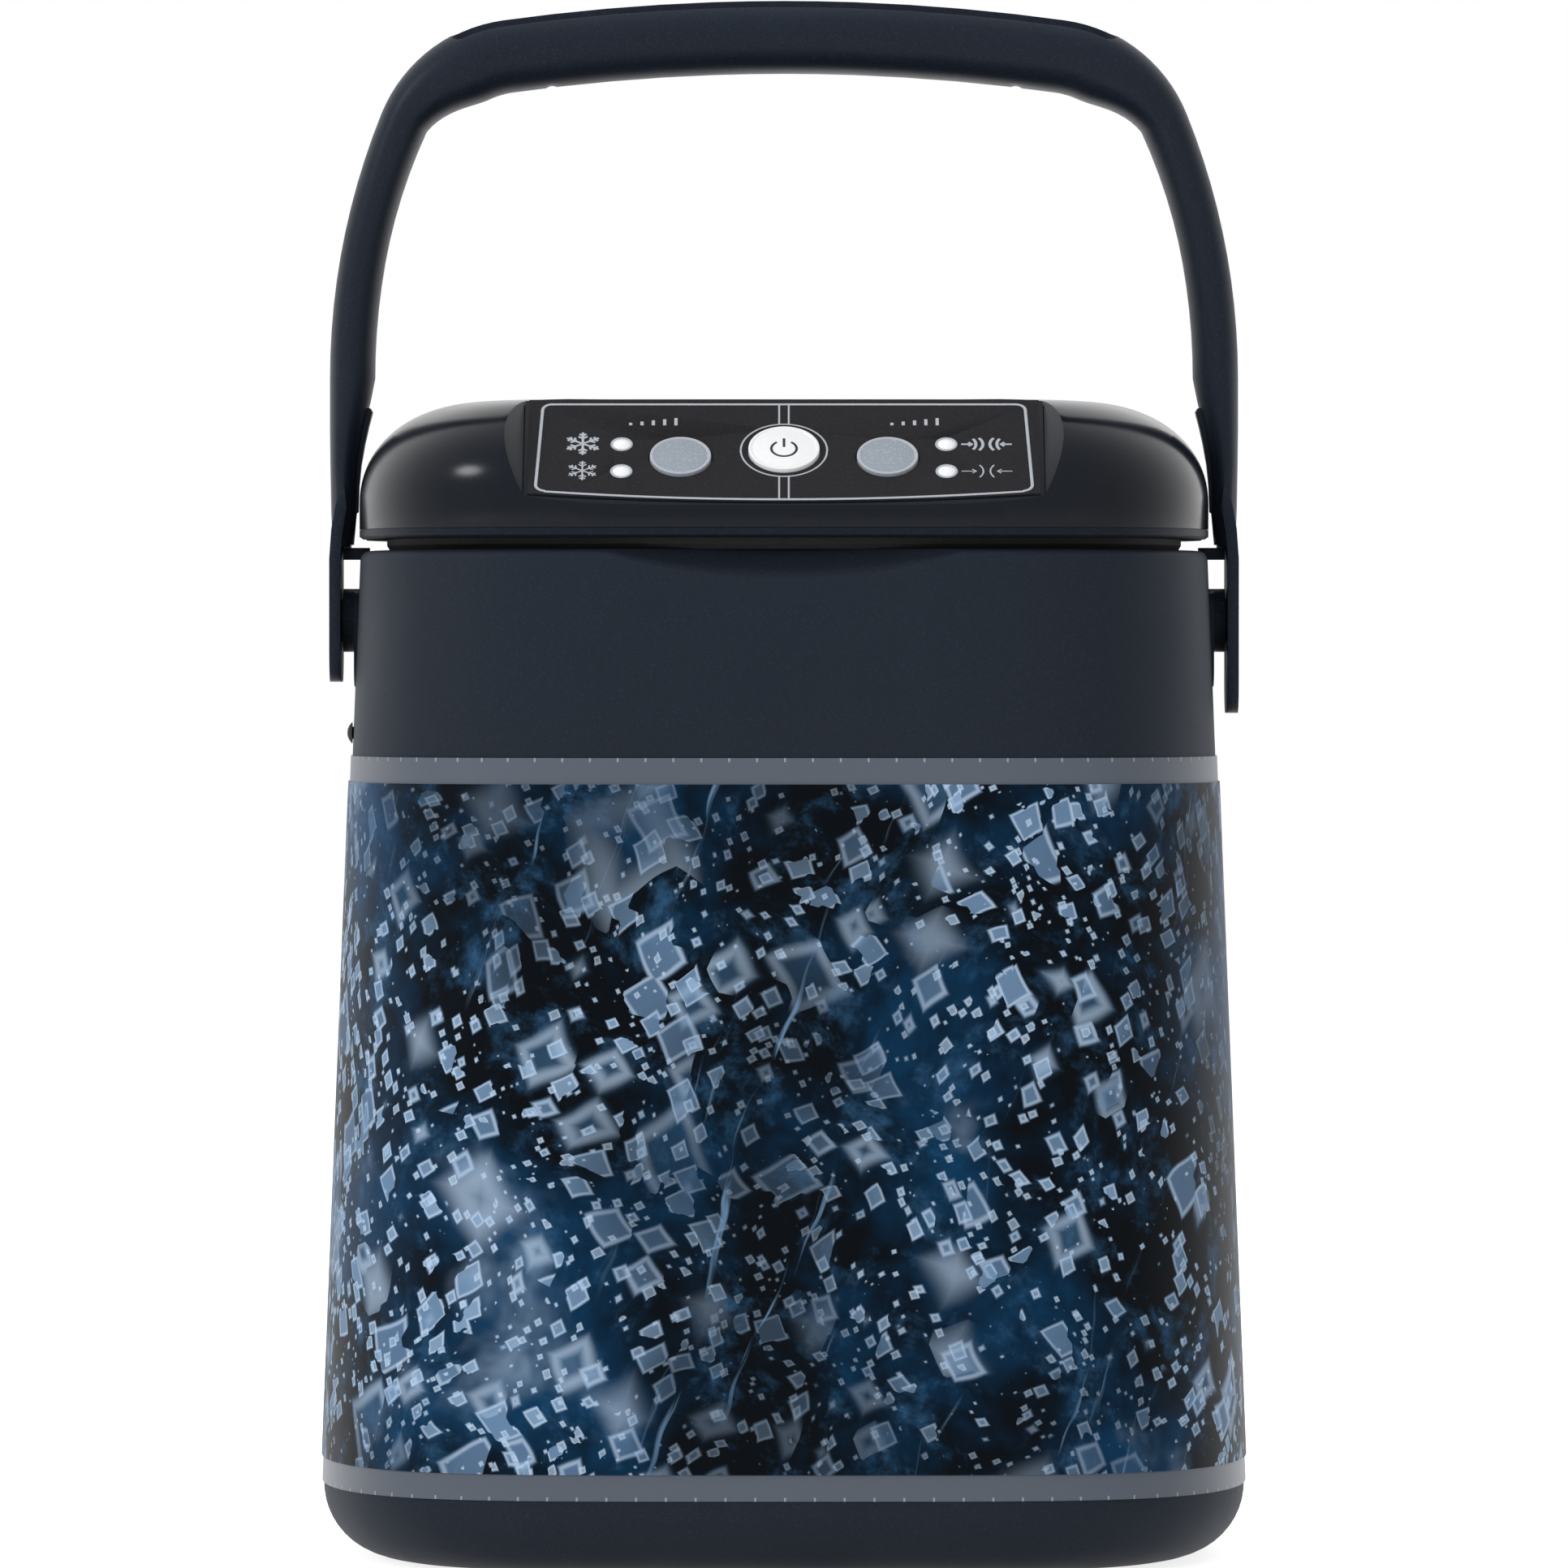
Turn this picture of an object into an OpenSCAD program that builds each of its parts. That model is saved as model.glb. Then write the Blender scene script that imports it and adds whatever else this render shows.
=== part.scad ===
// Cold and compression therapy machine: insulated tub, pump lid with control panel, bail handle.
// Origin at the bottom centre, +Z up, the control panel faces -Y. All sizes in millimetres.

/* [Tub] */
// Half width of the tub wall, extrapolated to the floor
tub_half_w = 108.4; // [100:0.1:116]
// Half depth of the tub wall, extrapolated to the floor
tub_half_d = 95.8; // [88:0.1:102]
// Height of the tub's rim
rim_z = 233.7; // [232.5:0.1:234]
// Inward lean of the walls for each millimetre of height
draft = 0.0398; // [0.02:0.001:0.05]
// Radius of the edge round the base
base_edge_r = 17; // [14:1:20]
// Thickness of the outer wall
shell_t = 2.6; // [2:0.1:3.5]
// Width of the rim's flat top
rim_w = 13; // [11:0.5:15]
// Thickness of the inner liner
liner_t = 2.2; // [1.6:0.1:3]
// Height of the liner's underside over the floor
liner_z = 21.6; // [18:0.1:30]
// Flatness of the front and back in plan, where 2 is an ellipse
front_power = 5; // [4:0.1:5.5]
// Flatness of the two sides in plan, where 2 is an ellipse
side_power = 2.4; // [2.2:0.1:2.8]
// Depth of the finger scoop under the lid's front edge
scoop_h = 6.5; // [4:0.5:9]
// Half width of the finger scoop
scoop_half_w = 51; // [40:1:60]

/* [Label] */
// Lower edge of the grey band
band_low = 17; // [15:0.5:22]
// Upper edge of the grey band
band_high = 186; // [150:1:190]
// Bare margin of the band above and below the print
print_margin = 6; // [3:0.5:12]
// Thickness of each layer of the label
label_t = 0.35; // [0.25:0.05:0.6]
// Gap of the label's seam at the back
seam_gap = 3; // [1:0.5:10]

/* [Lid] */
// Height of the lid's lower edge
lid_z = 236.4; // [236:0.1:237.5]
// Height of the lid's top
lid_top = 268.5; // [266:0.5:272]
// Height of the tray's edge below the glossy cover
tray_edge = 2.2; // [2:0.1:3]
// Overhang of the lid beyond the tub's rim
lid_over = 0.3; // [0.2:0.1:0.6]
// Horizontal reach of the rounded shoulder
shoulder_w = 30; // [28:0.5:34]
// Height of the rounded shoulder
shoulder_h = 24; // [20:0.5:26]
// Fullness of the shoulder, where 2 is an ellipse
shoulder_power = 2.15; // [2:0.05:2.5]
// Wall of the cover
cover_t = 2.4; // [2:0.1:3]
// Depth of the lid's plug inside the tub
plug_depth = 30.5; // [24:0.5:34]
// Half depth of the relief that lets the lid rise past the handle's arms
relief_half_d = 14; // [13:0.5:18]
// Half width left between the two reliefs
relief_half_w = 92; // [91.3:0.1:92.2]

/* [Panel] */
// Slope of the control panel from the horizontal
panel_angle = 38; // [34:1:42]
// Half width of the panel's flat face
panel_half_w = 59.5; // [56:0.5:62]
// Height of the panel's lower edge on the front face
panel_low = 243.7; // [243:0.1:246]
// Outward slope of the panel's side walls
panel_wall_angle = 38; // [20:1:45]
// Radius of the power button
power_r = 8.2; // [7:0.1:9]
// Radius of the two mode buttons
mode_r = 7.05; // [6:0.05:8]
// Distance of a mode button from the middle
mode_x = 23.7; // [21:0.1:26]
// Distance of the status lamps from the middle
lamp_x = 37.2; // [35:0.1:40]
// Radius of a status lamp's lens
lamp_r = 2.05; // [1.5:0.05:2.5]
// Travel of each button
button_travel = 0.5; // [0.3:0.05:0.5]

/* [Handle] */
// Height of the handle's hinge line
pivot_z = 217.6; // [214:0.1:219]
// Height of the top of the grip
handle_top = 363.1; // [358:0.1:368]
// Half width over the handle's arms
arm_half_w = 106.5; // [106.4:0.1:107]
// Radius of the grip's long arch
grip_arc_r = 480; // [400:5:600]
// Half width of the grip's long arch
grip_half_w = 66; // [64:0.5:68]
// Radius of the handle's corners
corner_arc_r = 36; // [34:0.5:38]
// Thickness of the grip
grip_t = 17.3; // [15:0.1:19]
// Thickness of an arm
arm_t = 10.6; // [10:0.1:11]
// Depth of the grip from front to back
grip_d = 25; // [20:0.5:27]
// Depth of an arm from front to back
arm_d = 22; // [18:0.5:24]
// Width of the long recess in the top of the grip
recess_w = 11.8; // [8:0.2:13]
// Depth of the recess
recess_depth = 3.6; // [2:0.2:6]
// Radius of the hinge stub in each hub
stub_r = 5; // [4:0.1:5.5]
// Reach of the left hub plate below the hinge
left_tail = 14.4; // [12:0.1:20]
// Reach of the right hub plate below the hinge
right_tail = 21.7; // [12:0.1:22]

/* [Connections] */
// Radius of each water port's bore
water_port_r = 4; // [3:0.1:4.5]
// Radius of the air port's bore
air_port_r = 2.6; // [2:0.1:3]
// Radius of the power jack's bore
jack_r = 2.85; // [2.5:0.05:3]
// Depth of the ports' bores
port_depth = 12; // [10:0.5:14]

/* [Hidden] */
$fn = 64;
gap = 0.1;                          // between pieces that sit against each other
plan_n = 64;                        // points round the plan
rim_round = 2;
floor_t = 2.6;
base_hollow = 2;
rim_lip = 4;                        // depth of the rim's flange at the liner
rim_root = 10.8;                    // and where it meets the outer wall
scoop_slope = 38;
rim_half_w = tub_half_w - draft * rim_z;
rim_half_d = tub_half_d - draft * rim_z;
lid_half_w = rim_half_w + lid_over;
lid_half_d = rim_half_d + lid_over;
cover_z = lid_z + tray_edge + gap;
shoulder_z = lid_top - shoulder_h;
side_angle = 68;                    // slope where the corner arc meets the side arc
grip_angle = asin(grip_half_w / grip_arc_r);
corner_x = grip_arc_r * sin(grip_angle) + corner_arc_r * (sin(side_angle) - sin(grip_angle));
corner_z = handle_top - grip_arc_r * (1 - cos(grip_angle))
    - corner_arc_r * (cos(grip_angle) - cos(side_angle));
side_arc_r = (arm_half_w - corner_x) / (1 - sin(side_angle));
arm_z = corner_z - side_arc_r * cos(side_angle);    // the arms are straight below this height
recess_mid = -3.4;                  // middle of the grip's recess, towards the front
recess_end = 29;                    // lean of the arch where the recess ends
hub_in = 103.7;                     // inner face of a hub plate
hub_out = 106.3;                    // outer face of a hub plate
hub_half_d = 12.5;
plate_tip_x = 102.9;                // the plate's upper end, buried in the arm
plate_tip_z = 249.8;
nick_x = 54.4;                      // the nicks under the grip
nick_r = 1.9;
boss_r = 7.4;
boss_end = hub_in - 0.3;
seat_x = 99.15;                     // flat seat of a hinge mount on the tub's side
mount_t = 1.5;
mount_half_d = 9;
mount_low = 202;
mount_high = 224.3;
cap_r = 7.2;
cap_x = hub_out - 0.95;
lug_low = 231.8;
lug_high = 234.6;                   // a lug beside each end of the rim, under the handle's block
plug_y = -14;                       // filling hole's plug on the tub's left side
plug_z = 191.3;
plug_r = 1.45;
block_in_r = 17.6;                  // the lock block runs round the hinge between these radii
block_out_r = 23.6;
block_x = 101.6;                    // its inner face
facet_back = (lid_top - panel_low) / tan(panel_angle);
panel_y = -lid_half_d + facet_back / 2;
panel_z = (lid_top + panel_low) / 2;
power_v = -0.1;                     // places on the panel, up its slope from its middle
mode_v = -2.8;
lamp_v = [2.2, -8];
overlay_t = 0.4;
flange_t = 1.2;
button_gap = 0.3;
plunger_end = 5.9;                  // depth of the buttons' plungers below the panel's face
bay_y = lid_half_d - 6.4;           // flat rear face that carries the connections
bay_half_w = 36;
bay_low = 241;
socket_x = -7;
socket_half_w = 21;
socket_half_h = 8;
port_z = 251;
port_back = 12.6;                   // reach of the tubes' ends behind the bay's face
port_x = [-20, -6, 8];              // the air port and two water ports
port_r = [air_port_r, water_port_r, water_port_r];
sleeve_t = 1.1;
socket_face = bay_y + 3;
socket_back = bay_y - 12.5;
jack_x = 26;
jack_body_r = 6;
pump_y = 40;
pump_r = 20;
pump_low = 211.2;
impeller_r = 14.5;
shaft_r = 1.5;
shaft_gap = 0.05;
motor_low = 228;
air_y = 8;
air_z = 222;                        // height of the air pump's crank, which turns about a line along X
crank_r = 6;
intake_y = 46;
intake_r = 4.5;
return_x = 44;
screw_places = [[80, -36], [-80, -36], [74, 50], [-74, 50]];
boss_h = 25.5;                      // height of the screw bosses under the lid's roof

// ---- shared shapes ----

function power_of(v, e) = sign(v) * pow(abs(v), e);

// A point of the plan outline with half sizes a and b, at parameter t
function plan_point(a, b, t) =
    [a * power_of(cos(t), 2 / front_power), b * power_of(sin(t), 2 / side_power)];

// One level ring of the outline
function ring(a, b, z, n = plan_n) =
    [for (i = [0:n - 1]) concat(plan_point(a, b, 360 * i / n), z)];

// A ring of the tub, inset from its leaning wall
function tub_ring(inset, z) = ring(tub_half_w - draft * z - inset, tub_half_d - draft * z - inset, z);

// Rings of the rounded edge round the base, t inside its outer face, from the foot outwards
function base_edge(t, steps) = [for (k = [0:steps]) let (a = 90 * k / steps, r = base_edge_r - t)
    tub_ring(base_edge_r - r * sin(a), base_edge_r - r * cos(a))];

function backwards(list) = [for (k = [len(list) - 1:-1:0]) list[k]];

function lid_ring(inset, z, n = plan_n) = ring(lid_half_w - inset, lid_half_d - inset, z, n);

// Triangles between consecutive rings of n points, which are joined end to end if wrap is set
function side_faces(rows, n, wrap = false) =
    [for (r = [0:rows - (wrap ? 1 : 2)], i = [0:n - 1])
        let (a = r * n, b = ((r + 1) % rows) * n, j = (i + 1) % n)
        each [[a + i, b + i, b + j], [a + i, b + j, a + j]]];

// Solid through a list of rings, from the lowest inner ring outwards, up and back in
module loft(rings) {
    n = len(rings[0]);
    rows = len(rings);
    polyhedron(
        points = [for (r = rings) each r],
        faces = concat([[for (i = [0:n - 1]) i]], side_faces(rows, n),
            [[for (i = [n - 1:-1:0]) (rows - 1) * n + i]]),
        convexity = 6);
}

// Closed ring whose section is a loop of rings, listed anticlockwise as seen along the wall
module ring_loft(rings)
    polyhedron(
        points = [for (r = rings) each r],
        faces = side_faces(len(rings), len(rings[0]), true),
        convexity = 8);

// Sheet wrapped round the tub's wall, open at a seam in the back
module wrap_sheet(low, high, inner) {
    half_seam = asin(pow(seam_gap / 2 / tub_half_w, front_power / 2));
    start = 90 + half_seam;
    sweep = 360 - 2 * half_seam;
    rows = plan_n + 1;
    function corner(t, out, z) = concat(
        plan_point(tub_half_w - draft * z + out, tub_half_d - draft * z + out, t), z);
    points = [for (i = [0:plan_n]) let (t = start + sweep * i / plan_n) each [
        corner(t, inner, low), corner(t, inner + label_t, low),
        corner(t, inner + label_t, high), corner(t, inner, high)]];
    polyhedron(
        points = points,
        faces = concat([[3, 2, 1, 0]], side_faces_open(rows, 4),
            [[for (i = [0:3]) (rows - 1) * 4 + i]]),
        convexity = 4);
}

function side_faces_open(rows, n) =
    [for (r = [0:rows - 2], i = [0:n - 1])
        let (a = r * n, b = a + n, j = (i + 1) % n)
        each [[a + i, a + j, b + j], [a + i, b + j, b + i]]];

// Places its children on the panel: x across, y up the slope, z out of the face
module on_panel(x = 0, v = 0, n = 0)
    translate([0, panel_y, panel_z]) rotate([panel_angle, 0, 0]) translate([x, v, n]) children();

module both_sides() {
    children();
    mirror([1, 0, 0]) children();
}

// Cylinder along +X from x0 to x1
module x_rod(x0, x1, y, z, r) translate([x0, y, z]) rotate([0, 90, 0]) cylinder(h = x1 - x0, r = r);

// Cylinder along +Y from y0 to y1
module y_rod(x, y0, y1, z, r) translate([x, y0, z]) rotate([-90, 0, 0]) cylinder(h = y1 - y0, r = r);

function unit(v) = v / norm(v);

// Direction of a route at each of its points
function headings(p) = [for (i = [0:len(p) - 1])
    unit(i == 0 ? p[1] - p[0] : i == len(p) - 1 ? p[i] - p[i - 1]
        : unit(p[i + 1] - p[i]) + unit(p[i] - p[i - 1]))];

// A sideways direction carried along the route without twist
function carried(t, u, i = 0) = i == len(t) ? []
    : let (w = unit(u - (u * t[i]) * t[i])) concat([w], carried(t, w, i + 1));

// Tube of eight sides swept along a route; aside is any direction across its start
module pipe(points, r, aside) {
    t = headings(points);
    u = carried(t, aside);
    loft([for (i = [0:len(points) - 1]) let (v = cross(t[i], u[i]))
        [for (k = [0:7]) points[i] + r * (u[i] * cos(45 * k) + v * sin(45 * k))]]);
}

// Flat plate with round corners, drawn in XY and raised along Z
module rounded_plate(w, d, h, r) {
    linear_extrude(h) union() {
        square([w - 2 * r, d], center = true);
        square([w, d - 2 * r], center = true);
        for (x = [-1, 1], y = [-1, 1]) translate([x * (w / 2 - r), y * (d / 2 - r)]) circle(r);
    }
}

// ---- tub ----

module tub_shell() {
    foot = base_edge_r + 9;
    lug_in = 97.2;
    seat_h = mount_high - mount_low + 2 * gap;
    scoop_r = (pow(scoop_half_w, 2) + pow(scoop_h, 2)) / (2 * scoop_h);
    color("#2b323c") difference() {
        union() {
            loft(concat(
                [tub_ring(foot + base_hollow, base_hollow), tub_ring(foot, 0)],
                base_edge(0, 6),
                [tub_ring(0, rim_z - rim_round), tub_ring(0.6, rim_z - 0.6),
                    tub_ring(rim_round, rim_z), tub_ring(rim_w, rim_z),
                    tub_ring(rim_w, rim_z - rim_lip), tub_ring(shell_t, rim_z - rim_root)],
                backwards(base_edge(shell_t, 3)),
                [tub_ring(foot, base_hollow + floor_t)]));
            both_sides() translate([lug_in, -3, lug_low])
                cube([boss_end - lug_in, 6, lug_high - lug_low]);
        }
        // finger scoop, sloped back from the front face up to the rim
        translate([0, -rim_half_d, rim_z - scoop_h]) rotate([scoop_slope, 0, 0])
            translate([0, 0, scoop_r]) rotate([90, 0, 0])
            cylinder(h = 40, r = scoop_r, center = true, $fn = 160);
        both_sides() {
            translate([seat_x, -mount_half_d - gap, mount_low - gap])
                cube([8, 2 * (mount_half_d + gap), seat_h]);
            x_rod(90, 101, 0, pivot_z, 2.2);
        }
        x_rod(-110, -90, plug_y, plug_z, plug_r + 0.05);
    }
}

module foam_core()
    color("#e8dfc0") difference() {
        loft(concat(
            [tub_ring(base_edge_r + 9, base_hollow + floor_t + gap)],
            base_edge(shell_t + gap, 3),
            [tub_ring(shell_t + gap, rim_z - rim_root - gap), tub_ring(rim_w, rim_z - rim_lip - gap),
                tub_ring(rim_w, liner_z + 4), tub_ring(rim_w + 7, liner_z - gap)]));
        both_sides() x_rod(84, 99, 0, pivot_z, 5);
        x_rod(-110, -92.5, plug_y, plug_z, 2.2);
    }

module liner()
    color("#d9dde0") loft([tub_ring(rim_w + 7.2, liner_z), tub_ring(rim_w + gap, liner_z + 4.4),
        tub_ring(rim_w + gap, rim_z - 0.4), tub_ring(rim_w + liner_t, rim_z - 0.4),
        tub_ring(rim_w + liner_t, liner_z + 6.4), tub_ring(rim_w + 9.2, liner_z + liner_t)]);

module label_band() color("#5a626d") wrap_sheet(band_low, band_high, 0.05);

module label_print()
    color("#0b2a45") wrap_sheet(band_low + print_margin, band_high - print_margin, label_t + 0.1);

// Rubber plug that closes the foam's filling hole, high on the left side
module fill_plug() {
    face = -100.8;
    dome_r = 3.3;
    color("#1b2027") union() {
        x_rod(face - 0.8, face + 3.2, plug_y, plug_z, plug_r);
        translate([face, plug_y, plug_z]) intersection() {
            translate([dome_r - 1.2, 0, 0]) sphere(r = dome_r);
            x_rod(-3, 0, 0, 0, dome_r);
        }
    }
}

// Plate, boss and hinge stub on one side of the tub
module hinge_mount()
    difference() {
        union() {
            translate([seat_x + mount_t, 0, (mount_low + mount_high) / 2]) rotate([0, -90, 0])
                rounded_plate(mount_high - mount_low, 2 * mount_half_d, mount_t - 0.05, 5);
            x_rod(seat_x + 0.5, boss_end, 0, pivot_z, boss_r);
            x_rod(boss_end - 1, cap_x, 0, pivot_z, stub_r);
        }
        x_rod(seat_x - 1, boss_end - 0.6, 0, pivot_z, 1.95);
    }

module hinge_mount_right() color("#343c46") hinge_mount();

module hinge_mount_left() color("#343c46") mirror([1, 0, 0]) hinge_mount();

// Screws driven from inside the wall before the foam goes in
module hinge_screws()
    color("silver") both_sides() {
        x_rod(96, boss_end - 1, 0, pivot_z, 1.9);
        x_rod(93.2, 96.4, 0, pivot_z, 4.2);
    }

// Flush caps that hold the hub plates on their stubs
module hinge_caps()
    color("#20262e") both_sides() difference() {
        x_rod(cap_x + 0.02, hub_out - 0.05, 0, pivot_z, cap_r);
        translate([hub_out - 0.5, -3.6, pivot_z - 0.7]) cube([2, 7.2, 1.4]);
    }

// ---- handle ----

function ease(u) = let (c = max(0, min(1, u))) c * c * (3 - 2 * c);

// Outer edge of the arch where its outward normal leans by angle a from +Z: x, z
function arch_point(a) =
    a <= grip_angle
        ? [grip_arc_r * sin(a), handle_top - grip_arc_r * (1 - cos(a))]
    : a <= side_angle
        ? [grip_arc_r * sin(grip_angle) + corner_arc_r * (sin(a) - sin(grip_angle)),
            handle_top - grip_arc_r * (1 - cos(grip_angle)) - corner_arc_r * (cos(grip_angle) - cos(a))]
    : [arm_half_w - side_arc_r * (1 - sin(a)), arm_z + side_arc_r * cos(a)];

// Section of the bar, t thick and d deep: across from front to back, and depth below its outer edge
bar_n = 22;
function bar_section(t, d) =
    [for (i = [0:bar_n - 1]) let (a = 360 * i / bar_n)
        [-d / 2 * power_of(cos(a), 0.84), t / 2 * (1 - power_of(sin(a), 0.84))]];

// A section set on the arch at the outer point p, where the arch leans by a; side is 1 or -1
function on_arch(section, p, a, side) =
    [for (q = section) [side * (p[0] - q[1] * sin(a)), q[0], p[1] - q[1] * cos(a)]];

function arch_t(a) = grip_t + (arm_t - grip_t) * ease((a - 25) / 55);
function arch_d(a) = grip_d + (arm_d - grip_d) * ease((a - 30) / 50);

// Lower stations of an arm, which thins out on its hub plate: outer x, z, thickness, depth
arm_stations = [
    [hub_out - 0.4, 235.3, 5, 16], [hub_out - 0.1, 243, 6, 19],
    [arm_half_w - 0.1, arm_z - 20, 6.6, 21.5], [arm_half_w, arm_z - 12, 8, arm_d],
    [arm_half_w, arm_z - 5, 9.6, arm_d]];
arch_leans = [90, 85, 80, 74, side_angle, 61, 54, 47, 40, 33, 27, 21, 15, 11, grip_angle, 5.5, 2.7];
half_bar = concat(
    [for (s = arm_stations) [[s[0], s[1]], 90, s[2], s[3]]],
    [for (a = arch_leans) [arch_point(a), a, arch_t(a), arch_d(a)]]);

module handle_bar() {
    last = len(half_bar) - 1;
    function station(s, side) = on_arch(bar_section(s[2], s[3]), s[0], s[1], side);
    loft(concat([for (s = half_bar) station(s, 1)],
        [on_arch(bar_section(grip_t, grip_d), arch_point(0), 0, 1)],
        [for (k = [last:-1:0]) station(half_bar[k], -1)]));
}

// Long recess in the top of the grip, nearer its front, with round ends
module grip_recess() {
    leans = [for (u = [1, 0.985, 0.95, 0.88]) u * recess_end];
    inner = [22, 17, 12.5, grip_angle, 5.5, 2.7];
    function half_w(a) = recess_w / 2 * (a > 0.85 * recess_end
        ? max(0.12, sqrt(1 - pow((a / recess_end - 0.85) / 0.15, 2))) : 1);
    function cut(a) = let (w = half_w(a), m = recess_mid)
        [[m - w, -4], [m + w, -4], [m + w, recess_depth], [m - w, recess_depth]];
    all = concat(leans, inner);
    last = len(all) - 1;
    loft(concat([for (a = all) on_arch(cut(a), arch_point(a), a, 1)],
        [on_arch(cut(0), arch_point(0), 0, 1)],
        [for (k = [last:-1:0]) on_arch(cut(all[k]), arch_point(all[k]), all[k], -1)]));
}

// Plate that carries the hub's bore: a round tail below the hinge, and a top that leans in to the arm
module hub_plate(tail) {
    top = plate_tip_z - pivot_z + 1;
    corner = 7;
    low = pivot_z - tail - 1;
    intersection() {
        translate([hub_in - 3, 0, pivot_z]) rotate([90, 0, 90]) linear_extrude(10) union() {
            translate([-hub_half_d, corner - tail]) square([2 * hub_half_d, top + tail - 2 * corner]);
            translate([corner - hub_half_d, -tail]) square([2 * (hub_half_d - corner), top + tail]);
            for (x = [-1, 1], y = [corner - tail, top - corner])
                translate([x * (hub_half_d - corner), y]) circle(corner);
        }
        rotate([90, 0, 0]) linear_extrude(40, center = true) polygon([
            [hub_in, low], [hub_out, low], [hub_out, 232], [hub_out - 0.5, 239],
            [hub_out - 1.6, 245], [plate_tip_x, plate_tip_z], [hub_in - 1.5, 244],
            [hub_in - 0.5, 238], [hub_in, 232]]);
    }
}

// Hub plate and the curved block that closes over the tub's lug
module hub(tail) {
    hub_plate(tail);
    translate([hub_in + 0.4, 0, pivot_z]) rotate([0, -90, 0]) rotate([0, 0, -15])
        rotate_extrude(angle = 30) translate([block_in_r, 0])
        square([block_out_r - block_in_r, hub_in + 0.4 - block_x]);
}

module hub_bore() {
    x_rod(90, 110, 0, pivot_z, stub_r + 0.08);
    x_rod(cap_x - 0.15, 110, 0, pivot_z, cap_r + 0.3);
}

module handle()
    color("#2a3240") difference() {
        union() {
            handle_bar();
            hub(right_tail);
            mirror([1, 0, 0]) hub(left_tail);
        }
        grip_recess();
        both_sides() {
            hub_bore();
            // half-round nicks across the underside of the grip
            y_rod(nick_x, -20, 20, arch_point(7)[1] - grip_t - 1, nick_r);
        }
    }

// ---- lid ----

// The lid's rounded body, shrunk by its wall: low is its open lower end
module lid_body(wall, low) {
    steps = 9;
    w = shoulder_w - wall;
    h = shoulder_h - wall;
    loft(concat(
        [lid_ring(wall, low)],
        [for (k = [0:steps]) let (a = 90 * k / steps)
            lid_ring(wall + w * (1 - pow(cos(a), 2 / shoulder_power)),
                shoulder_z + h * pow(sin(a), 2 / shoulder_power) - (k == steps ? 0.12 : 0))],
        [lid_ring(wall + w + 18, shoulder_z + h)]));
}

// Space in front of the panel's face, with sloped side walls; deeper by wall for the inner skin
module panel_space(wall) {
    deep = 24;
    flare = deep * tan(panel_wall_angle);
    half = panel_half_w + wall * 1.3;
    on_panel(0, 0, -wall) translate([0, 60, 0]) rotate([90, 0, 0]) linear_extrude(120)
        polygon([[-half, 0], [half, 0], [half + flare, deep], [-half - flare, deep]]);
}

// Reliefs in the lid's sides
module side_relief(wall, low)
    both_sides() translate([relief_half_w - wall, -relief_half_d - wall, low])
        cube([20, 2 * (relief_half_d + wall), 40]);

// Flat bay at the rear for the connections
module rear_bay(wall)
    translate([-bay_half_w - wall, bay_y - wall, bay_low - wall])
        cube([2 * (bay_half_w + wall), 20, 40]);

module lid_cover()
    color("#1c2430") difference() {
        union() {
            difference() {
                lid_body(0, cover_z);
                panel_space(0);
                side_relief(0, 230);
                rear_bay(0);
                difference() {
                    lid_body(cover_t, cover_z - 1);
                    panel_space(cover_t);
                    side_relief(cover_t, 230);
                    rear_bay(cover_t);
                }
            }
            for (p = screw_places) translate([p[0], p[1], cover_z]) cylinder(h = boss_h, r = 3.6);
        }
        for (p = screw_places) translate([p[0], p[1], cover_z - 1]) cylinder(h = 12, r = 1.25);
        on_panel(0, power_v, -5) cylinder(h = 10, r = power_r + button_gap);
        for (x = [-mode_x, mode_x]) on_panel(x, mode_v, -5) cylinder(h = 10, r = mode_r + button_gap);
        for (x = [-lamp_x, lamp_x], v = lamp_v) on_panel(x, v, -5) cylinder(h = 10, r = lamp_r + gap);
        translate([socket_x, bay_y - 6, port_z]) rotate([-90, 0, 0])
            rounded_plate(2 * socket_half_w + 0.4, 2 * socket_half_h + 0.4, 12, 5);
        y_rod(jack_x, bay_y - 6, bay_y + 6, port_z, jack_body_r - 1.3);
    }

module lid_tray() {
    plug_w = rim_half_w - rim_w - liner_t - 1.3;
    plug_d = rim_half_d - rim_w - liner_t - 1.3;
    plug_z = lid_z - plug_depth;
    wall = 2.2;
    top = lid_z + tray_edge;
    color("#232a33") difference() {
        loft([ring(plug_w - 6, plug_d - 6, plug_z), ring(plug_w - 2.6, plug_d - 2.6, plug_z + 3.4),
            ring(plug_w, plug_d, lid_z), lid_ring(0.9, lid_z), lid_ring(0, lid_z + 0.6),
            lid_ring(0, top), ring(plug_w - wall, plug_d - wall, top),
            ring(plug_w - wall - 2.4, plug_d - wall - 2.4, plug_z + 5.4),
            ring(plug_w - wall - 5, plug_d - wall - 5, plug_z + wall)]);
        side_relief(0, 230);
        translate([0, intake_y, plug_z - 1]) cylinder(h = 6, r = intake_r + 1.6);
        translate([return_x, pump_y, plug_z - 1]) cylinder(h = 6, r = intake_r + 0.2);
        for (p = screw_places) translate([p[0], p[1], lid_z - 1]) {
            cylinder(h = 6, r = 1.7);
            cylinder(h = 2.1, r = 3.2);
        }
    }
}

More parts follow.
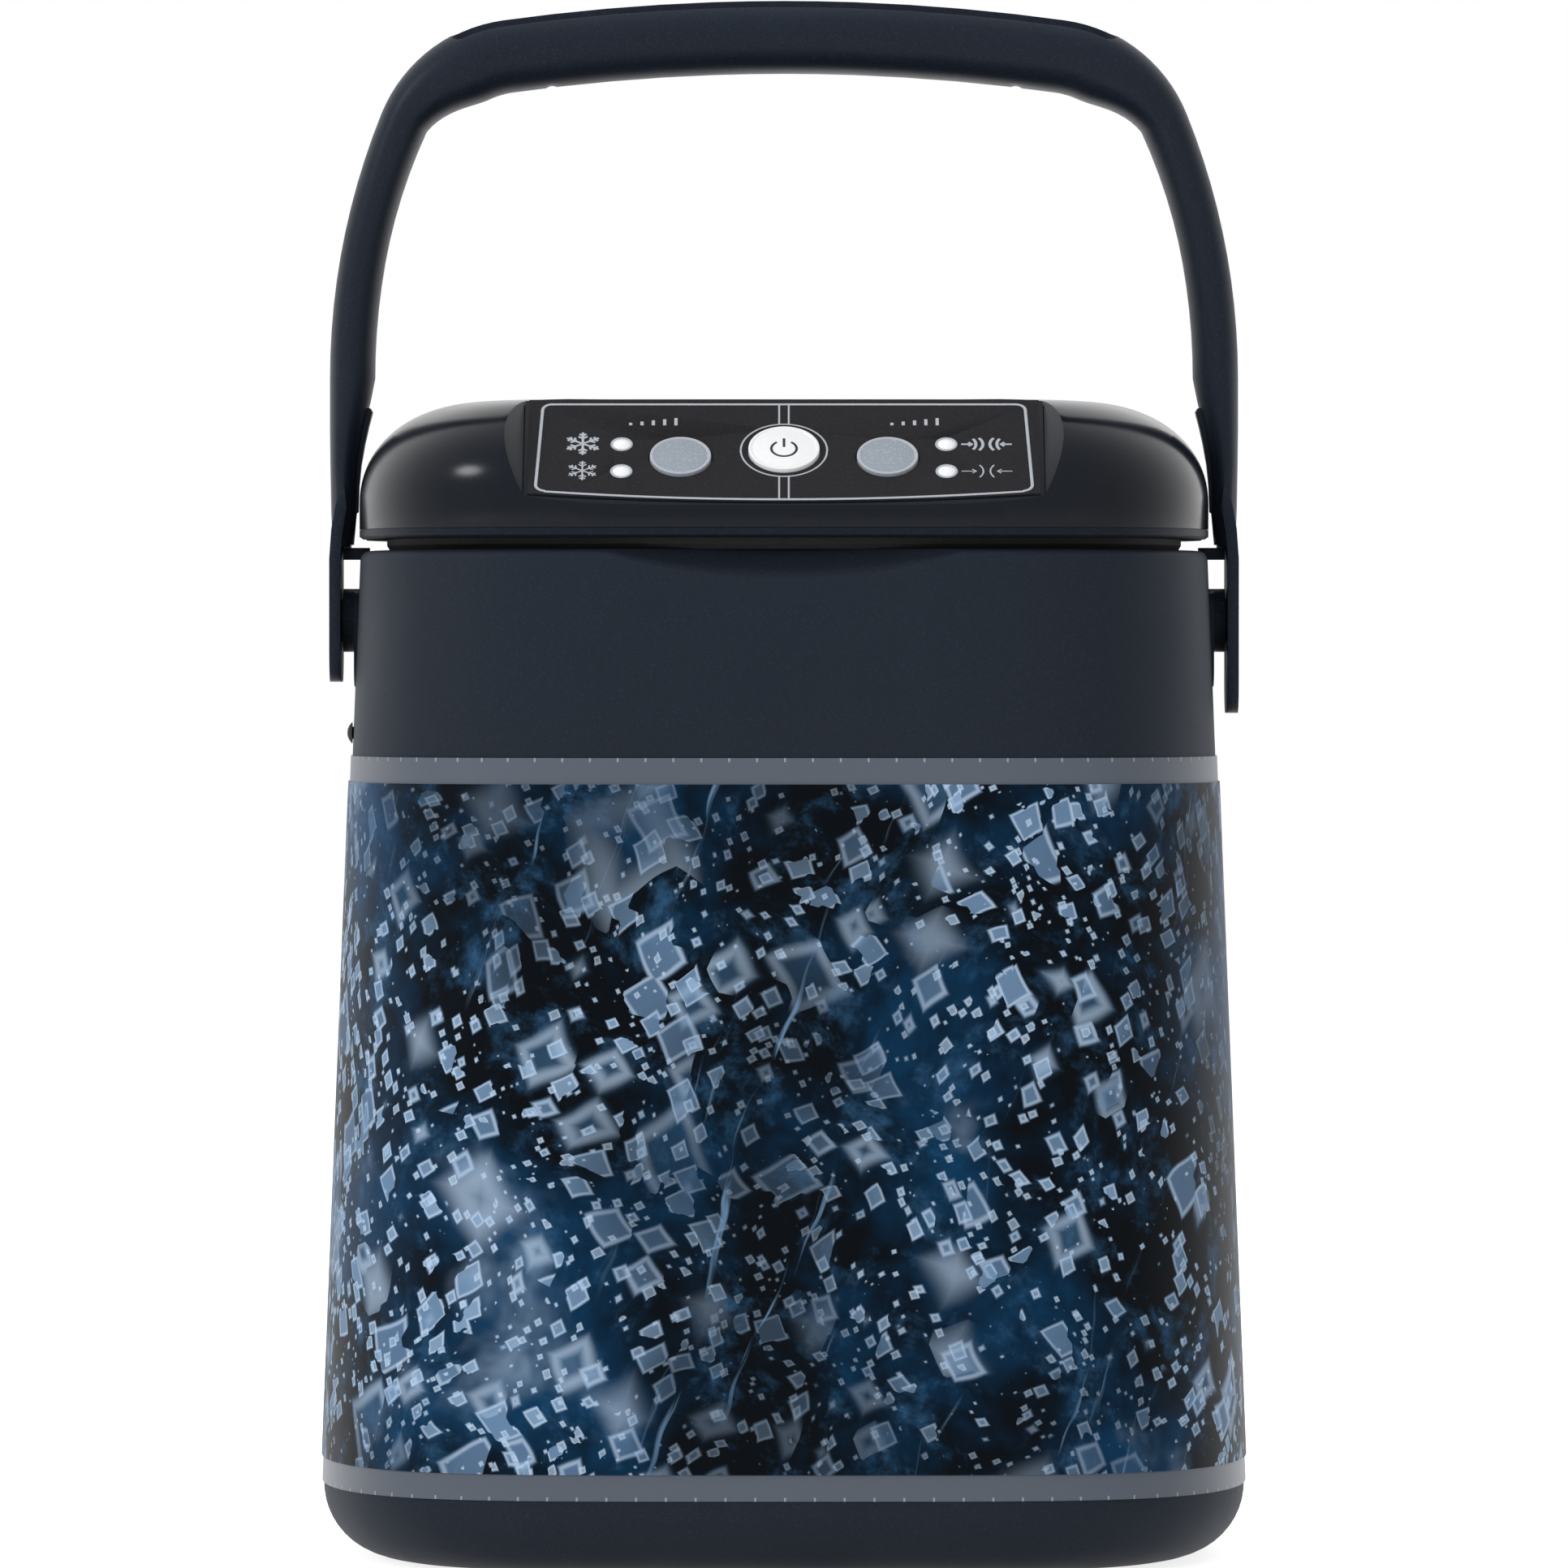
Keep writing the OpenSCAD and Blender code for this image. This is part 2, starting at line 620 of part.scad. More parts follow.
// Seal under the lid's edge: a flat back and three soft ribs that meet the tub's rim
module lid_gasket() {
    n = 48;
    low = rim_z + 0.05;
    high = lid_z - 0.05;
    rib = 0.9;
    out = lid_half_w - 93;
    profile = [[0, high], [0, low + 1.2], [0.7, low], [1.4, low + rib], [2.1, low + rib],
        [2.8, low], [3.5, low + rib], [4.2, low + rib], [4.9, low], [5.6, low + 1.2], [5.6, high]];
    color("#111317") ring_loft([for (p = profile) lid_ring(out + p[0], p[1], n)]);
}

// Insulation in the front of the plug
module lid_foam()
    color("#e8dfc0") translate([0, -37, lid_z - plug_depth + 2.5])
        rounded_plate(112, 42, 22, 8);

module lid_screws()
    color("silver") for (p = screw_places) translate([p[0], p[1], 0]) {
        translate([0, 0, lid_z + 0.5]) cylinder(h = 10.2, r = 1.2);
        translate([0, 0, lid_z + 0.1]) cylinder(h = 0.95, r = 3);
    }

// Printed sheet on the panel: its lower edge follows the lid's bowed front
module panel_overlay() {
    half = panel_half_w - 0.9;
    low = 3.9 - facet_back / 2 / cos(panel_angle);
    high = facet_back / 2 / cos(panel_angle) - 1;
    bow = 3;
    bow_r = (half * half + bow * bow) / (2 * bow);
    color("#2a2a2c") difference() {
        on_panel(0, 0, 0.02) linear_extrude(overlay_t) intersection() {
            translate([-half, low - bow]) square([2 * half, high - low + bow]);
            translate([0, low - bow + bow_r]) circle(bow_r, $fn = 240);
        }
        on_panel(0, power_v, -1) cylinder(h = 3, r = power_r + button_gap);
        for (x = [-mode_x, mode_x]) on_panel(x, mode_v, -1) cylinder(h = 3, r = mode_r + button_gap);
        for (x = [-lamp_x, lamp_x], v = lamp_v) on_panel(x, v, -1) cylinder(h = 3, r = lamp_r + gap);
    }
}

// Button cap with its retaining flange and plunger
module button(r, x, v, rise)
    on_panel(x, v, 0) union() {
        translate([0, 0, -cover_t]) cylinder(h = cover_t + rise, r = r);
        translate([0, 0, -cover_t - 0.1 - flange_t]) cylinder(h = flange_t, r = r + 1.2);
        translate([0, 0, -cover_t - 0.2]) cylinder(h = 0.4, r = r);
        translate([0, 0, -plunger_end]) cylinder(h = 3, r = 2);
    }

module power_button() color("white") button(power_r, 0, power_v, 1.1);

module cold_button() color("#98a0a9") button(mode_r, -mode_x, mode_v, 1);

module compression_button() color("#98a0a9") button(mode_r, mode_x, mode_v, 1);

// Domed lenses of the four status lamps
module lamp_lenses()
    color("white") for (x = [-lamp_x, lamp_x], v = lamp_v) on_panel(x, v, 0) intersection() {
        translate([0, 0, -cover_t]) cylinder(h = cover_t + 2, r = lamp_r);
        translate([0, 0, -2.4]) sphere(r = 3.5);
    }

module control_board() {
    thick = 1.6;
    color("#1e5c3a") on_panel(0, -1.5, -9.6) difference() {
        rounded_plate(104, 25, thick, 2);
        for (x = [-48, 48], v = [-9, 9]) translate([x, v, -1]) cylinder(h = 4, r = 1.2);
    }
}

// Switches whose stems stand just past the end of each button's travel
module tact_switches() {
    body_h = 1.1;
    stem_h = 1.5;
    color("#3a3a3a") for (p = [[0, power_v], [-mode_x, mode_v], [mode_x, mode_v]])
        on_panel(p[0], p[1], -plunger_end - button_travel - 0.08 - stem_h) union() {
            translate([-3, -3, 0]) cube([6, 6, body_h]);
            cylinder(h = stem_h, r = 1.6);
        }
}

// ---- water pump ----

module pump_body()
    color("#30363e") difference() {
        union() {
            translate([0, pump_y, pump_low]) cylinder(h = 12.8, r = pump_r);
            x_rod(10, 28, pump_y + 14, pump_low + 7.5, 4.6);
        }
        translate([0, pump_y, pump_low + 2.6]) cylinder(h = 12, r = 16);
        translate([0, intake_y, pump_low - 1]) cylinder(h = 6, r = intake_r - 1.3);
        x_rod(9, 30, pump_y + 14, pump_low + 7.5, 2.8);
    }

module pump_cover()
    color("#3a414b") difference() {
        translate([0, pump_y, pump_low + 12.9]) cylinder(h = 3.2, r = pump_r);
        translate([0, pump_y, pump_low + 12]) cylinder(h = 6, r = shaft_r + shaft_gap);
    }

module pump_motor()
    color("#9aa0a6") difference() {
        union() {
            translate([0, pump_y, motor_low]) cylinder(h = 21, r = 14);
            translate([0, pump_y, motor_low + 21]) cylinder(h = 4, r = 6);
        }
        translate([0, pump_y, motor_low - 1]) cylinder(h = 18, r = shaft_r + shaft_gap);
    }

// Six curved-back vanes on a disc, with the shaft that the motor turns
module pump_impeller()
    color("#c9ced4") translate([0, pump_y, 0]) union() {
        translate([0, 0, pump_low + 3.6]) cylinder(h = 1.6, r = impeller_r);
        translate([0, 0, pump_low + 3.6]) cylinder(h = 7, r = 4);
        for (k = [0:5]) rotate([0, 0, 60 * k]) translate([2, -0.6, pump_low + 4])
            rotate([0, 0, -12]) cube([11, 1.3, 6]);
        translate([0, 0, pump_low + 4]) cylinder(h = 28.6, r = shaft_r);
    }

module intake_tube() {
    low = 46;
    color("#c5cbd2") difference() {
        translate([0, intake_y, low]) cylinder(h = lid_z - plug_depth - low + 5, r = intake_r);
        translate([0, intake_y, low - 1]) cylinder(h = 200, r = intake_r - 1.3);
    }
}

// Slotted cup that keeps ice out of the pump
module intake_strainer() {
    low = 30;
    h = 22;
    r = 12;
    color("#343c46") translate([0, intake_y, low]) difference() {
        cylinder(h = h, r = r);
        translate([0, 0, 1.6]) cylinder(h = h - 4, r = r - 1.6);
        cylinder(h = h + 1, r = intake_r + 0.05);
        translate([0, 0, -1]) cylinder(h = 4, r = 3);
        for (k = [0:5]) rotate([0, 0, 30 * k + 15]) translate([-20, -0.9, 4]) cube([40, 1.8, h - 9]);
    }
}

module return_spout()
    color("#c5cbd2") difference() {
        translate([return_x, pump_y, 190]) cylinder(h = 26, r = intake_r);
        translate([return_x, pump_y, 180]) cylinder(h = 80, r = intake_r - 1.3);
    }

module water_out_tube() {
    outlet_y = pump_y + 14;
    outlet_z = pump_low + 7.5;
    x = port_x[1];
    color("#7f8890") pipe([
        [28.1, outlet_y, outlet_z], [31, outlet_y, outlet_z], [33.5, outlet_y, outlet_z + 3],
        [34, outlet_y, 226], [31, 54.5, 235], [22, 56, 241], [4, 59, 247], [-3, 62, 250],
        [x, 65, port_z], [x, bay_y - port_back, port_z]], 3.4, [0, 1, 0]);
}

module water_back_tube() {
    x = port_x[2];
    color("#7f8890") pipe([
        [return_x, pump_y, 216.1], [return_x, pump_y, 240], [return_x - 2, pump_y + 3, 248],
        [36, 46, 255], [22, 52, 258.5], [12, 58, 257], [x, 62, 253], [x, 66, port_z],
        [x, bay_y - port_back, port_z]], 3.2, [0, 1, 0]);
}

// ---- air pump ----

module air_pump_body()
    color("#30363e") difference() {
        translate([-66, air_y - 14, 211.2]) cube([26, 28, 22]);
        x_rod(-63, -39, air_y, air_z, 10);
    }

module air_pump_head()
    color("#4a515a") union() {
        translate([-66, air_y - 14, 233.3]) cube([26, 28, 6]);
        translate([-53, air_y, 239.2]) cylinder(h = 5, r = 3);
    }

module air_motor()
    color("#9aa0a6") difference() {
        x_rod(-39.8, -22.5, air_y, air_z, 10.5);
        x_rod(-41, -30, air_y, air_z, 1.05);
    }

// Shaft with the off-centre throw that works the diaphragm
module air_crank()
    color("#c9ced4") union() {
        x_rod(-58, -31, air_y, air_z, 1);
        x_rod(-56, -50, air_y, air_z, crank_r);
        x_rod(-50.1, -46, air_y + 2.5, air_z, 3);
    }

module air_valve()
    color("#585f68") union() {
        translate([38, -8, 211.2]) cube([26, 20, 18]);
        x_rod(30, 38.1, 2, 220, 3);
    }

module air_tube() {
    x = port_x[0];
    color("#9ba3ab") pipe([
        [-53, air_y, 244.3], [-53, air_y, 248], [-51, air_y + 3, 252], [-45, 22, 254], [-33, 42, 254],
        [-24, 56, 253], [x, 63, 251.3], [x, bay_y - port_back, port_z]], 2.2, [0, 1, 0]);
}

// ---- rear connections ----

module hose_socket()
    color("#343c46") difference() {
        union() {
            translate([socket_x, socket_back, port_z]) rotate([-90, 0, 0])
                rounded_plate(2 * socket_half_w, 2 * socket_half_h, socket_face - socket_back, 5);
            translate([socket_x, bay_y + 0.05, port_z]) rotate([-90, 0, 0])
                rounded_plate(2 * socket_half_w + 5, 2 * socket_half_h + 3, 1.6, 6);
        }
        for (k = [0:2])
            y_rod(port_x[k], socket_back - 1, socket_face + 1, port_z, port_r[k] + sleeve_t + 0.05);
    }

// Sleeves that the hose's plugs push into; each has a closed back, as its valve shuts it
module port_sleeves()
    color("#c9ced4") for (k = [0:2]) difference() {
        y_rod(port_x[k], socket_back, socket_face, port_z, port_r[k] + sleeve_t);
        y_rod(port_x[k], socket_face - port_depth, socket_face + 1, port_z, port_r[k]);
    }

module power_jack()
    color("#15181c") difference() {
        union() {
            y_rod(jack_x, bay_y - 10, bay_y + 0.5, port_z, jack_body_r - 1.5);
            y_rod(jack_x, bay_y + 0.05, bay_y + 1.8, port_z, jack_body_r);
        }
        y_rod(jack_x, bay_y - 8, bay_y + 3, port_z, jack_r);
    }

module jack_nut()
    color("silver") difference() {
        translate([jack_x, bay_y - cover_t - 2.1, port_z]) rotate([-90, 0, 0])
            cylinder(h = 2, r = 7, $fn = 6);
        y_rod(jack_x, bay_y - 12, bay_y, port_z, jack_body_r - 1.45);
    }

tub_shell();
foam_core();
liner();
label_band();
label_print();
fill_plug();
hinge_mount_left();
hinge_mount_right();
hinge_screws();
hinge_caps();
handle();
lid_cover();
lid_tray();
lid_gasket();
lid_foam();
lid_screws();
panel_overlay();
power_button();
cold_button();
compression_button();
lamp_lenses();
control_board();
tact_switches();
pump_body();
pump_cover();
pump_motor();
pump_impeller();
intake_tube();
intake_strainer();
return_spout();
water_out_tube();
water_back_tube();
air_pump_body();
air_pump_head();
air_motor();
air_crank();
air_valve();
air_tube();
hose_socket();
port_sleeves();
power_jack();
jack_nut();
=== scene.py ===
"""Looks for the cold and compression therapy machine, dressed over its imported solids.

Sizes are in millimetres here, as in the part's source, and M turns them into metres.
X runs to the right, the control panel faces -Y, and Z is up.
"""

import math

import bpy
from mathutils import Matrix, Vector


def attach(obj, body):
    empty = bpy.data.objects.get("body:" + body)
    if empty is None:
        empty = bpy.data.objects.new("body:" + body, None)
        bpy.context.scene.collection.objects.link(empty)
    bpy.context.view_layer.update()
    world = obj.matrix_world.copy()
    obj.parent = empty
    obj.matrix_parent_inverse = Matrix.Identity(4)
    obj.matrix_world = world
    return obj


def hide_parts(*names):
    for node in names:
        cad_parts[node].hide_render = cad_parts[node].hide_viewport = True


M = 0.001
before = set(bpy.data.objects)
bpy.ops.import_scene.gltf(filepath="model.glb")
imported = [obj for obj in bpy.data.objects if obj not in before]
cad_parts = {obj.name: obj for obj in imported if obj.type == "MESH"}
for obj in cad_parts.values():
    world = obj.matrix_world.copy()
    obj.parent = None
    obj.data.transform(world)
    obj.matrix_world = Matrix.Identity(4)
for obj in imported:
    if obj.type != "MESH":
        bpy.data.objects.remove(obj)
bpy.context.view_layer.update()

# ---- main sizes, the same as the part's ----
TUB_HALF_W, TUB_HALF_D = 108.4, 95.8
DRAFT = 0.0398
FRONT_POWER, SIDE_POWER = 5.0, 2.4
RIM_Z = 233.7
RIM_W = 13.0
BASE_EDGE_R = 17.0
RIM_ROUND_R = 2.0
SCOOP_H, SCOOP_HALF_W = 6.5, 51.0
SHELL_T = 2.6
LUG_SIZE, LUG_X, LUG_Z = (6.2, 6, 2.8), 100.3, 233.2
SEAT_SIZE, SEAT_X, SEAT_Z = (8, 18.2, 22.5), 103.15, 213.15
HINGE_SCREW_R = 2.2
FILL_HOLE_R, FILL_HOLE_Y, FILL_HOLE_Z = 1.5, -14, 191.3
LABEL_T = 0.35
BAND_LOW, BAND_HIGH = 17.0, 186.0
PRINT_MARGIN = 6.0
SEAM_GAP = 3.0
LID_Z, LID_TOP = 236.4, 268.5
TRAY_EDGE = 2.2
LID_OVER = 0.3
SHOULDER_W, SHOULDER_H, SHOULDER_POWER = 30.0, 24.0, 2.15
COVER_T = 2.4
PANEL_ANGLE = 38.0
PANEL_LOW = 243.7
PANEL_HALF_W = 59.5
PANEL_SPACE, PANEL_FLARE = 24.0, 38.0
INK_RISE, INK_HEIGHT = 0.45, 0.06
POWER_R, MODE_R, LAMP_R = 8.2, 7.05, 2.05
MODE_X, LAMP_X = 23.7, 37.2
POWER_V, MODE_V, LAMP_V = -0.1, -2.8, (2.2, -8.0)
PIVOT_Z = 217.6
BORE_R, COUNTERBORE_R, NICK_R, NICK_X = 5.08, 7.5, 1.9, 54.4
TAIL_RIGHT, TAIL_LEFT = 21.7, 14.4
HANDLE_TOP, ARM_HALF_W = 363.1, 106.5
GRIP_ARC_R, GRIP_HALF_W, CORNER_ARC_R, SIDE_LEAN = 480.0, 66.0, 36.0, 68.0
GRIP_T, ARM_T, GRIP_D, ARM_D = 17.3, 10.6, 25.0, 22.0
BAR_POWER = 0.84
RECESS_W, RECESS_DEPTH, RECESS_MID, RECESS_END = 11.8, 3.6, -3.4, 29.0
HUB_IN, HUB_OUT = 103.7, 106.3

RIM_HALF_W = TUB_HALF_W - DRAFT * RIM_Z
RIM_HALF_D = TUB_HALF_D - DRAFT * RIM_Z
LID_HALF_W = RIM_HALF_W + LID_OVER
LID_HALF_D = RIM_HALF_D + LID_OVER
COVER_Z = LID_Z + TRAY_EDGE + 0.1
SHOULDER_Z = LID_TOP - SHOULDER_H
FACET_BACK = (LID_TOP - PANEL_LOW) / math.tan(math.radians(PANEL_ANGLE))
PANEL_PLACE = Matrix.Translation(
    (0, (FACET_BACK / 2 - LID_HALF_D) * M, (LID_TOP + PANEL_LOW) / 2 * M)
) @ Matrix.Rotation(math.radians(PANEL_ANGLE), 4, "X")
BAY_Y = LID_HALF_D - 6.4
PORT_Z = 251.0
PLAN_N = 128


# ---- selecting, finishing and placing pieces ----

def clear_selection():
    if bpy.context.object and bpy.context.object.mode != "OBJECT":
        bpy.ops.object.mode_set(mode="OBJECT")
    bpy.ops.object.select_all(action="DESELECT")


def pick(obj):
    clear_selection()
    obj.select_set(True)
    bpy.context.view_layer.objects.active = obj


def settle(obj):
    """Moves the object's place into its mesh."""
    pick(obj)
    bpy.ops.object.transform_apply(location=True, rotation=True, scale=True)


def place(obj, matrix):
    obj.matrix_world = matrix @ obj.matrix_world
    settle(obj)


def in_edit(obj, everything=True):
    pick(obj)
    bpy.ops.object.mode_set(mode="EDIT")
    bpy.ops.mesh.select_all(action="SELECT" if everything else "DESELECT")


def leave_edit():
    bpy.ops.object.mode_set(mode="OBJECT")


def apply_modifier(obj, kind, **values):
    pick(obj)
    modifier = obj.modifiers.new(kind, kind)
    for key, value in values.items():
        setattr(modifier, key, value)
    bpy.ops.object.modifier_apply(modifier=modifier.name)


def cut(obj, cutter, operation="DIFFERENCE"):
    apply_modifier(obj, "BOOLEAN", object=cutter, operation=operation, solver="EXACT")
    bpy.data.objects.remove(cutter)


def soften(obj, width, angle=35, segments=2):
    apply_modifier(
        obj, "BEVEL", width=width * M, segments=segments, limit_method="ANGLE",
        angle_limit=math.radians(angle), use_clamp_overlap=True)


def smooth(obj, angle=32):
    pick(obj)
    bpy.ops.object.shade_smooth_by_angle(angle=math.radians(angle))


def out_facing(obj):
    in_edit(obj)
    bpy.ops.mesh.remove_doubles(threshold=1e-6)
    bpy.ops.mesh.normals_make_consistent(inside=False)
    leave_edit()


def finish_piece(obj, name, body, material, slot, *stands_for):
    obj.name = name
    obj.data.name = name
    obj.data.materials.clear()
    obj.data.materials.append(material)
    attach(obj, body)
    if stands_for:
        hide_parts(*stands_for)


def duplicate(obj):
    pick(obj)
    bpy.ops.object.duplicate()
    return bpy.context.object


# ---- primitives that pieces start from ----

def block(size, middle):
    clear_selection()
    bpy.ops.mesh.primitive_cube_add(size=1, location=[v * M for v in middle])
    obj = bpy.context.object
    obj.scale = [v * M for v in size]
    settle(obj)
    return obj


def rod(radius, length, middle, axis="Z", sides=64):
    turn = {"X": (0, math.pi / 2, 0), "Y": (math.pi / 2, 0, 0), "Z": (0, 0, 0)}[axis]
    clear_selection()
    bpy.ops.mesh.primitive_cylinder_add(
        vertices=sides, radius=radius * M, depth=length * M,
        location=[v * M for v in middle], rotation=turn)
    obj = bpy.context.object
    settle(obj)
    return obj


def ring_bead(radius, wire, middle, flat=0.5, sides=96):
    """A flattened round ring lying level, as a printed or moulded rim round a button, and as a ring of
    painted shade round a lamp lens.
    """
    clear_selection()
    bpy.ops.mesh.primitive_torus_add(
        major_radius=radius * M, minor_radius=wire * M, major_segments=sides, minor_segments=10,
        location=[v * M for v in middle])
    obj = bpy.context.object
    obj.scale = (1, 1, flat)
    settle(obj)
    smooth(obj, 60)
    return obj


def sine(degrees):
    return math.sin(math.radians(degrees))


def cosine(degrees):
    return math.cos(math.radians(degrees))


def power_of(value, exponent):
    return math.copysign(abs(value) ** exponent, value)


def arc(x, y, radius, start, end, steps=24):
    """Points of an arc about x and y, from a start to an end in degrees."""
    turns = [start + (end - start) * k / steps for k in range(steps + 1)]
    return [(x + radius * cosine(turn), y + radius * sine(turn)) for turn in turns]


def plan_point(half_w, half_d, turn):
    """A point of the rounded plan that tub and lid share; turn is in degrees."""
    across = half_w * power_of(cosine(turn), 2 / FRONT_POWER)
    return across, half_d * power_of(sine(turn), 2 / SIDE_POWER)


def tub_ring(inset, z):
    return TUB_HALF_W - DRAFT * z - inset, TUB_HALF_D - DRAFT * z - inset, z


def lid_ring(inset, z):
    return LID_HALF_W - inset, LID_HALF_D - inset, z


def plan_loft(rings, start=0.0, sweep=360.0, count=PLAN_N, ends=True):
    """Skin through level rings of (half width, half depth, height), from the first to the last."""
    clear_selection()
    bpy.ops.mesh.primitive_circle_add(vertices=count, radius=1, fill_type="NOTHING")
    obj = bpy.context.object
    half_w, half_d, z = rings[0]
    opened = sweep < 360
    for i, vertex in enumerate(obj.data.vertices):
        turn = start + sweep * i / (count - 1 if opened else count)
        x, y = plan_point(half_w, half_d, turn)
        vertex.co = (x * M, y * M, z * M)
    if opened:
        in_edit(obj, everything=False)
        leave_edit()
        seam = [e for e in obj.data.edges if set(e.vertices) == {0, count - 1}][0]
        seam.select = True
        pick(obj)
        bpy.ops.object.mode_set(mode="EDIT")
        bpy.ops.mesh.select_mode(type="EDGE")
        bpy.ops.mesh.delete(type="EDGE")
        leave_edit()
    in_edit(obj)
    bpy.ops.mesh.select_mode(type="VERT")
    bpy.ops.mesh.select_all(action="SELECT")
    before = rings[0]
    for ring in rings[1:]:
        bpy.ops.mesh.extrude_region_move(
            TRANSFORM_OT_translate={"value": (0, 0, (ring[2] - before[2]) * M)})
        bpy.ops.transform.resize(
            value=(ring[0] / before[0], ring[1] / before[1], 1), center_override=(0, 0, 0))
        before = ring
    if ends and not opened:
        bpy.ops.mesh.select_all(action="SELECT")
        bpy.ops.mesh.fill_holes(sides=0)
        bpy.ops.mesh.select_all(action="SELECT")
        bpy.ops.mesh.normals_make_consistent(inside=False)
    leave_edit()
    return obj


def skin(node, body, material, slot, angle=30, edge=0.0):
    """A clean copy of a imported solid, its doubles merged and its edges softened."""
    obj = duplicate(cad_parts[node])
    obj.data = obj.data.copy()
    obj.parent = None
    in_edit(obj)
    bpy.ops.mesh.remove_doubles(threshold=2e-6)
    if edge:
        bpy.ops.mesh.dissolve_limited(angle_limit=math.radians(0.4))
    leave_edit()
    if edge:
        soften(obj, edge)
    smooth(obj, angle)
    finish_piece(obj, node + ".skin", body, material, slot, node)


# ---- shader groups ----

def new_group(name, inputs, outputs):
    group = bpy.data.node_groups.new(name, "ShaderNodeTree")
    for title, kind, value in inputs:
        socket = group.interface.new_socket(name=title, in_out="INPUT", socket_type="NodeSocket" + kind)
        if value is not None:
            socket.default_value = value
    for title, kind in outputs:
        group.interface.new_socket(name=title, in_out="OUTPUT", socket_type="NodeSocket" + kind)
    nodes = group.nodes
    return group, nodes.new("NodeGroupInput"), nodes.new("NodeGroupOutput")


def noise(tree, vector, scale, detail=2.0, rough=0.5):
    node = tree.nodes.new("ShaderNodeTexNoise")
    node.inputs["Detail"].default_value = detail
    node.inputs["Roughness"].default_value = rough
    tree.links.new(vector, node.inputs["Vector"])
    if isinstance(scale, (int, float)):
        node.inputs["Scale"].default_value = scale
    else:
        tree.links.new(scale, node.inputs["Scale"])
    return node


def maths(tree, operation, first, second=None, clamp=False):
    node = tree.nodes.new("ShaderNodeMath")
    node.operation = operation
    node.use_clamp = clamp
    for index, value in enumerate((first, second)):
        if value is None:
            continue
        if isinstance(value, (int, float)):
            node.inputs[index].default_value = value
        else:
            tree.links.new(value, node.inputs[index])
    return node.outputs[0]


def remap(tree, value, low, high, to_low=0.0, to_high=1.0, kind="SMOOTHSTEP"):
    node = tree.nodes.new("ShaderNodeMapRange")
    node.interpolation_type = kind
    for key, number in (("From Min", low), ("From Max", high), ("To Min", to_low), ("To Max", to_high)):
        if isinstance(number, (int, float)):
            node.inputs[key].default_value = number
        else:
            tree.links.new(number, node.inputs[key])
    tree.links.new(value, node.inputs["Value"])
    return node.outputs["Result"]


def mix_colour(tree, amount, first, second):
    node = tree.nodes.new("ShaderNodeMix")
    node.data_type = "RGBA"
    for key, value in (("Factor", amount), ("A", first), ("B", second)):
        socket = [s for s in node.inputs if s.name == key and (key == "Factor" or s.type == "RGBA")][0]
        if isinstance(value, (int, float, tuple)):
            socket.default_value = value
        else:
            tree.links.new(value, socket)
    return [s for s in node.outputs if s.type == "RGBA"][0]


def colour(code):
    """Linear colour from a written sRGB code."""
    parts = [int(code[i:i + 2], 16) / 255 for i in (1, 3, 5)]
    linear = [p / 12.92 if p <= 0.04045 else ((p + 0.055) / 1.055) ** 2.4 for p in parts]
    return (*linear, 1.0)


def make_speckle_group():
    """Moulding grain: a mask of fine light specks, a slow gloss variation and a grain height."""
    group, gin, gout = new_group(
        "moulding_grain",
        [("Vector", "Vector", None), ("Scale", "Float", 1200.0), ("Threshold", "Float", 0.6)],
        [("Specks", "Float"), ("Gloss", "Float"), ("Height", "Float")])
    vector = gin.outputs["Vector"]
    fine = noise(group, vector, gin.outputs["Scale"], 1.0)
    edge = maths(group, "ADD", gin.outputs["Threshold"], 0.14)
    specks = remap(group, fine.outputs[0], gin.outputs["Threshold"], edge)
    slow = noise(group, vector, 22.0, 3.0)
    grain = noise(group, vector, 2600.0, 2.0)
    group.links.new(specks, gout.inputs["Specks"])
    group.links.new(slow.outputs[0], gout.inputs["Gloss"])
    group.links.new(grain.outputs[0], gout.inputs["Height"])
    return group


def make_wear_group():
    """Handling marks: faint wiped smears and a few fine hairline scratches."""
    group, gin, gout = new_group(
        "handling_marks", [("Vector", "Vector", None)], [("Smear", "Float"), ("Scratch", "Float")])
    stretch = group.nodes.new("ShaderNodeMapping")
    stretch.inputs["Scale"].default_value = (1.0, 1.0, 0.12)
    stretch.inputs["Rotation"].default_value = (0.5, 0.3, 0.9)
    group.links.new(gin.outputs["Vector"], stretch.inputs["Vector"])
    smear = noise(group, stretch.outputs[0], 60.0, 4.0)
    line = group.nodes.new("ShaderNodeMapping")
    line.inputs["Scale"].default_value = (1.0, 0.02, 1.0)
    line.inputs["Rotation"].default_value = (0.2, 0.9, 0.6)
    group.links.new(gin.outputs["Vector"], line.inputs["Vector"])
    hair = noise(group, line.outputs[0], 900.0, 1.0)
    group.links.new(remap(group, smear.outputs[0], 0.45, 0.75), gout.inputs["Smear"])
    group.links.new(remap(group, hair.outputs[0], 0.72, 0.78), gout.inputs["Scratch"])
    return group


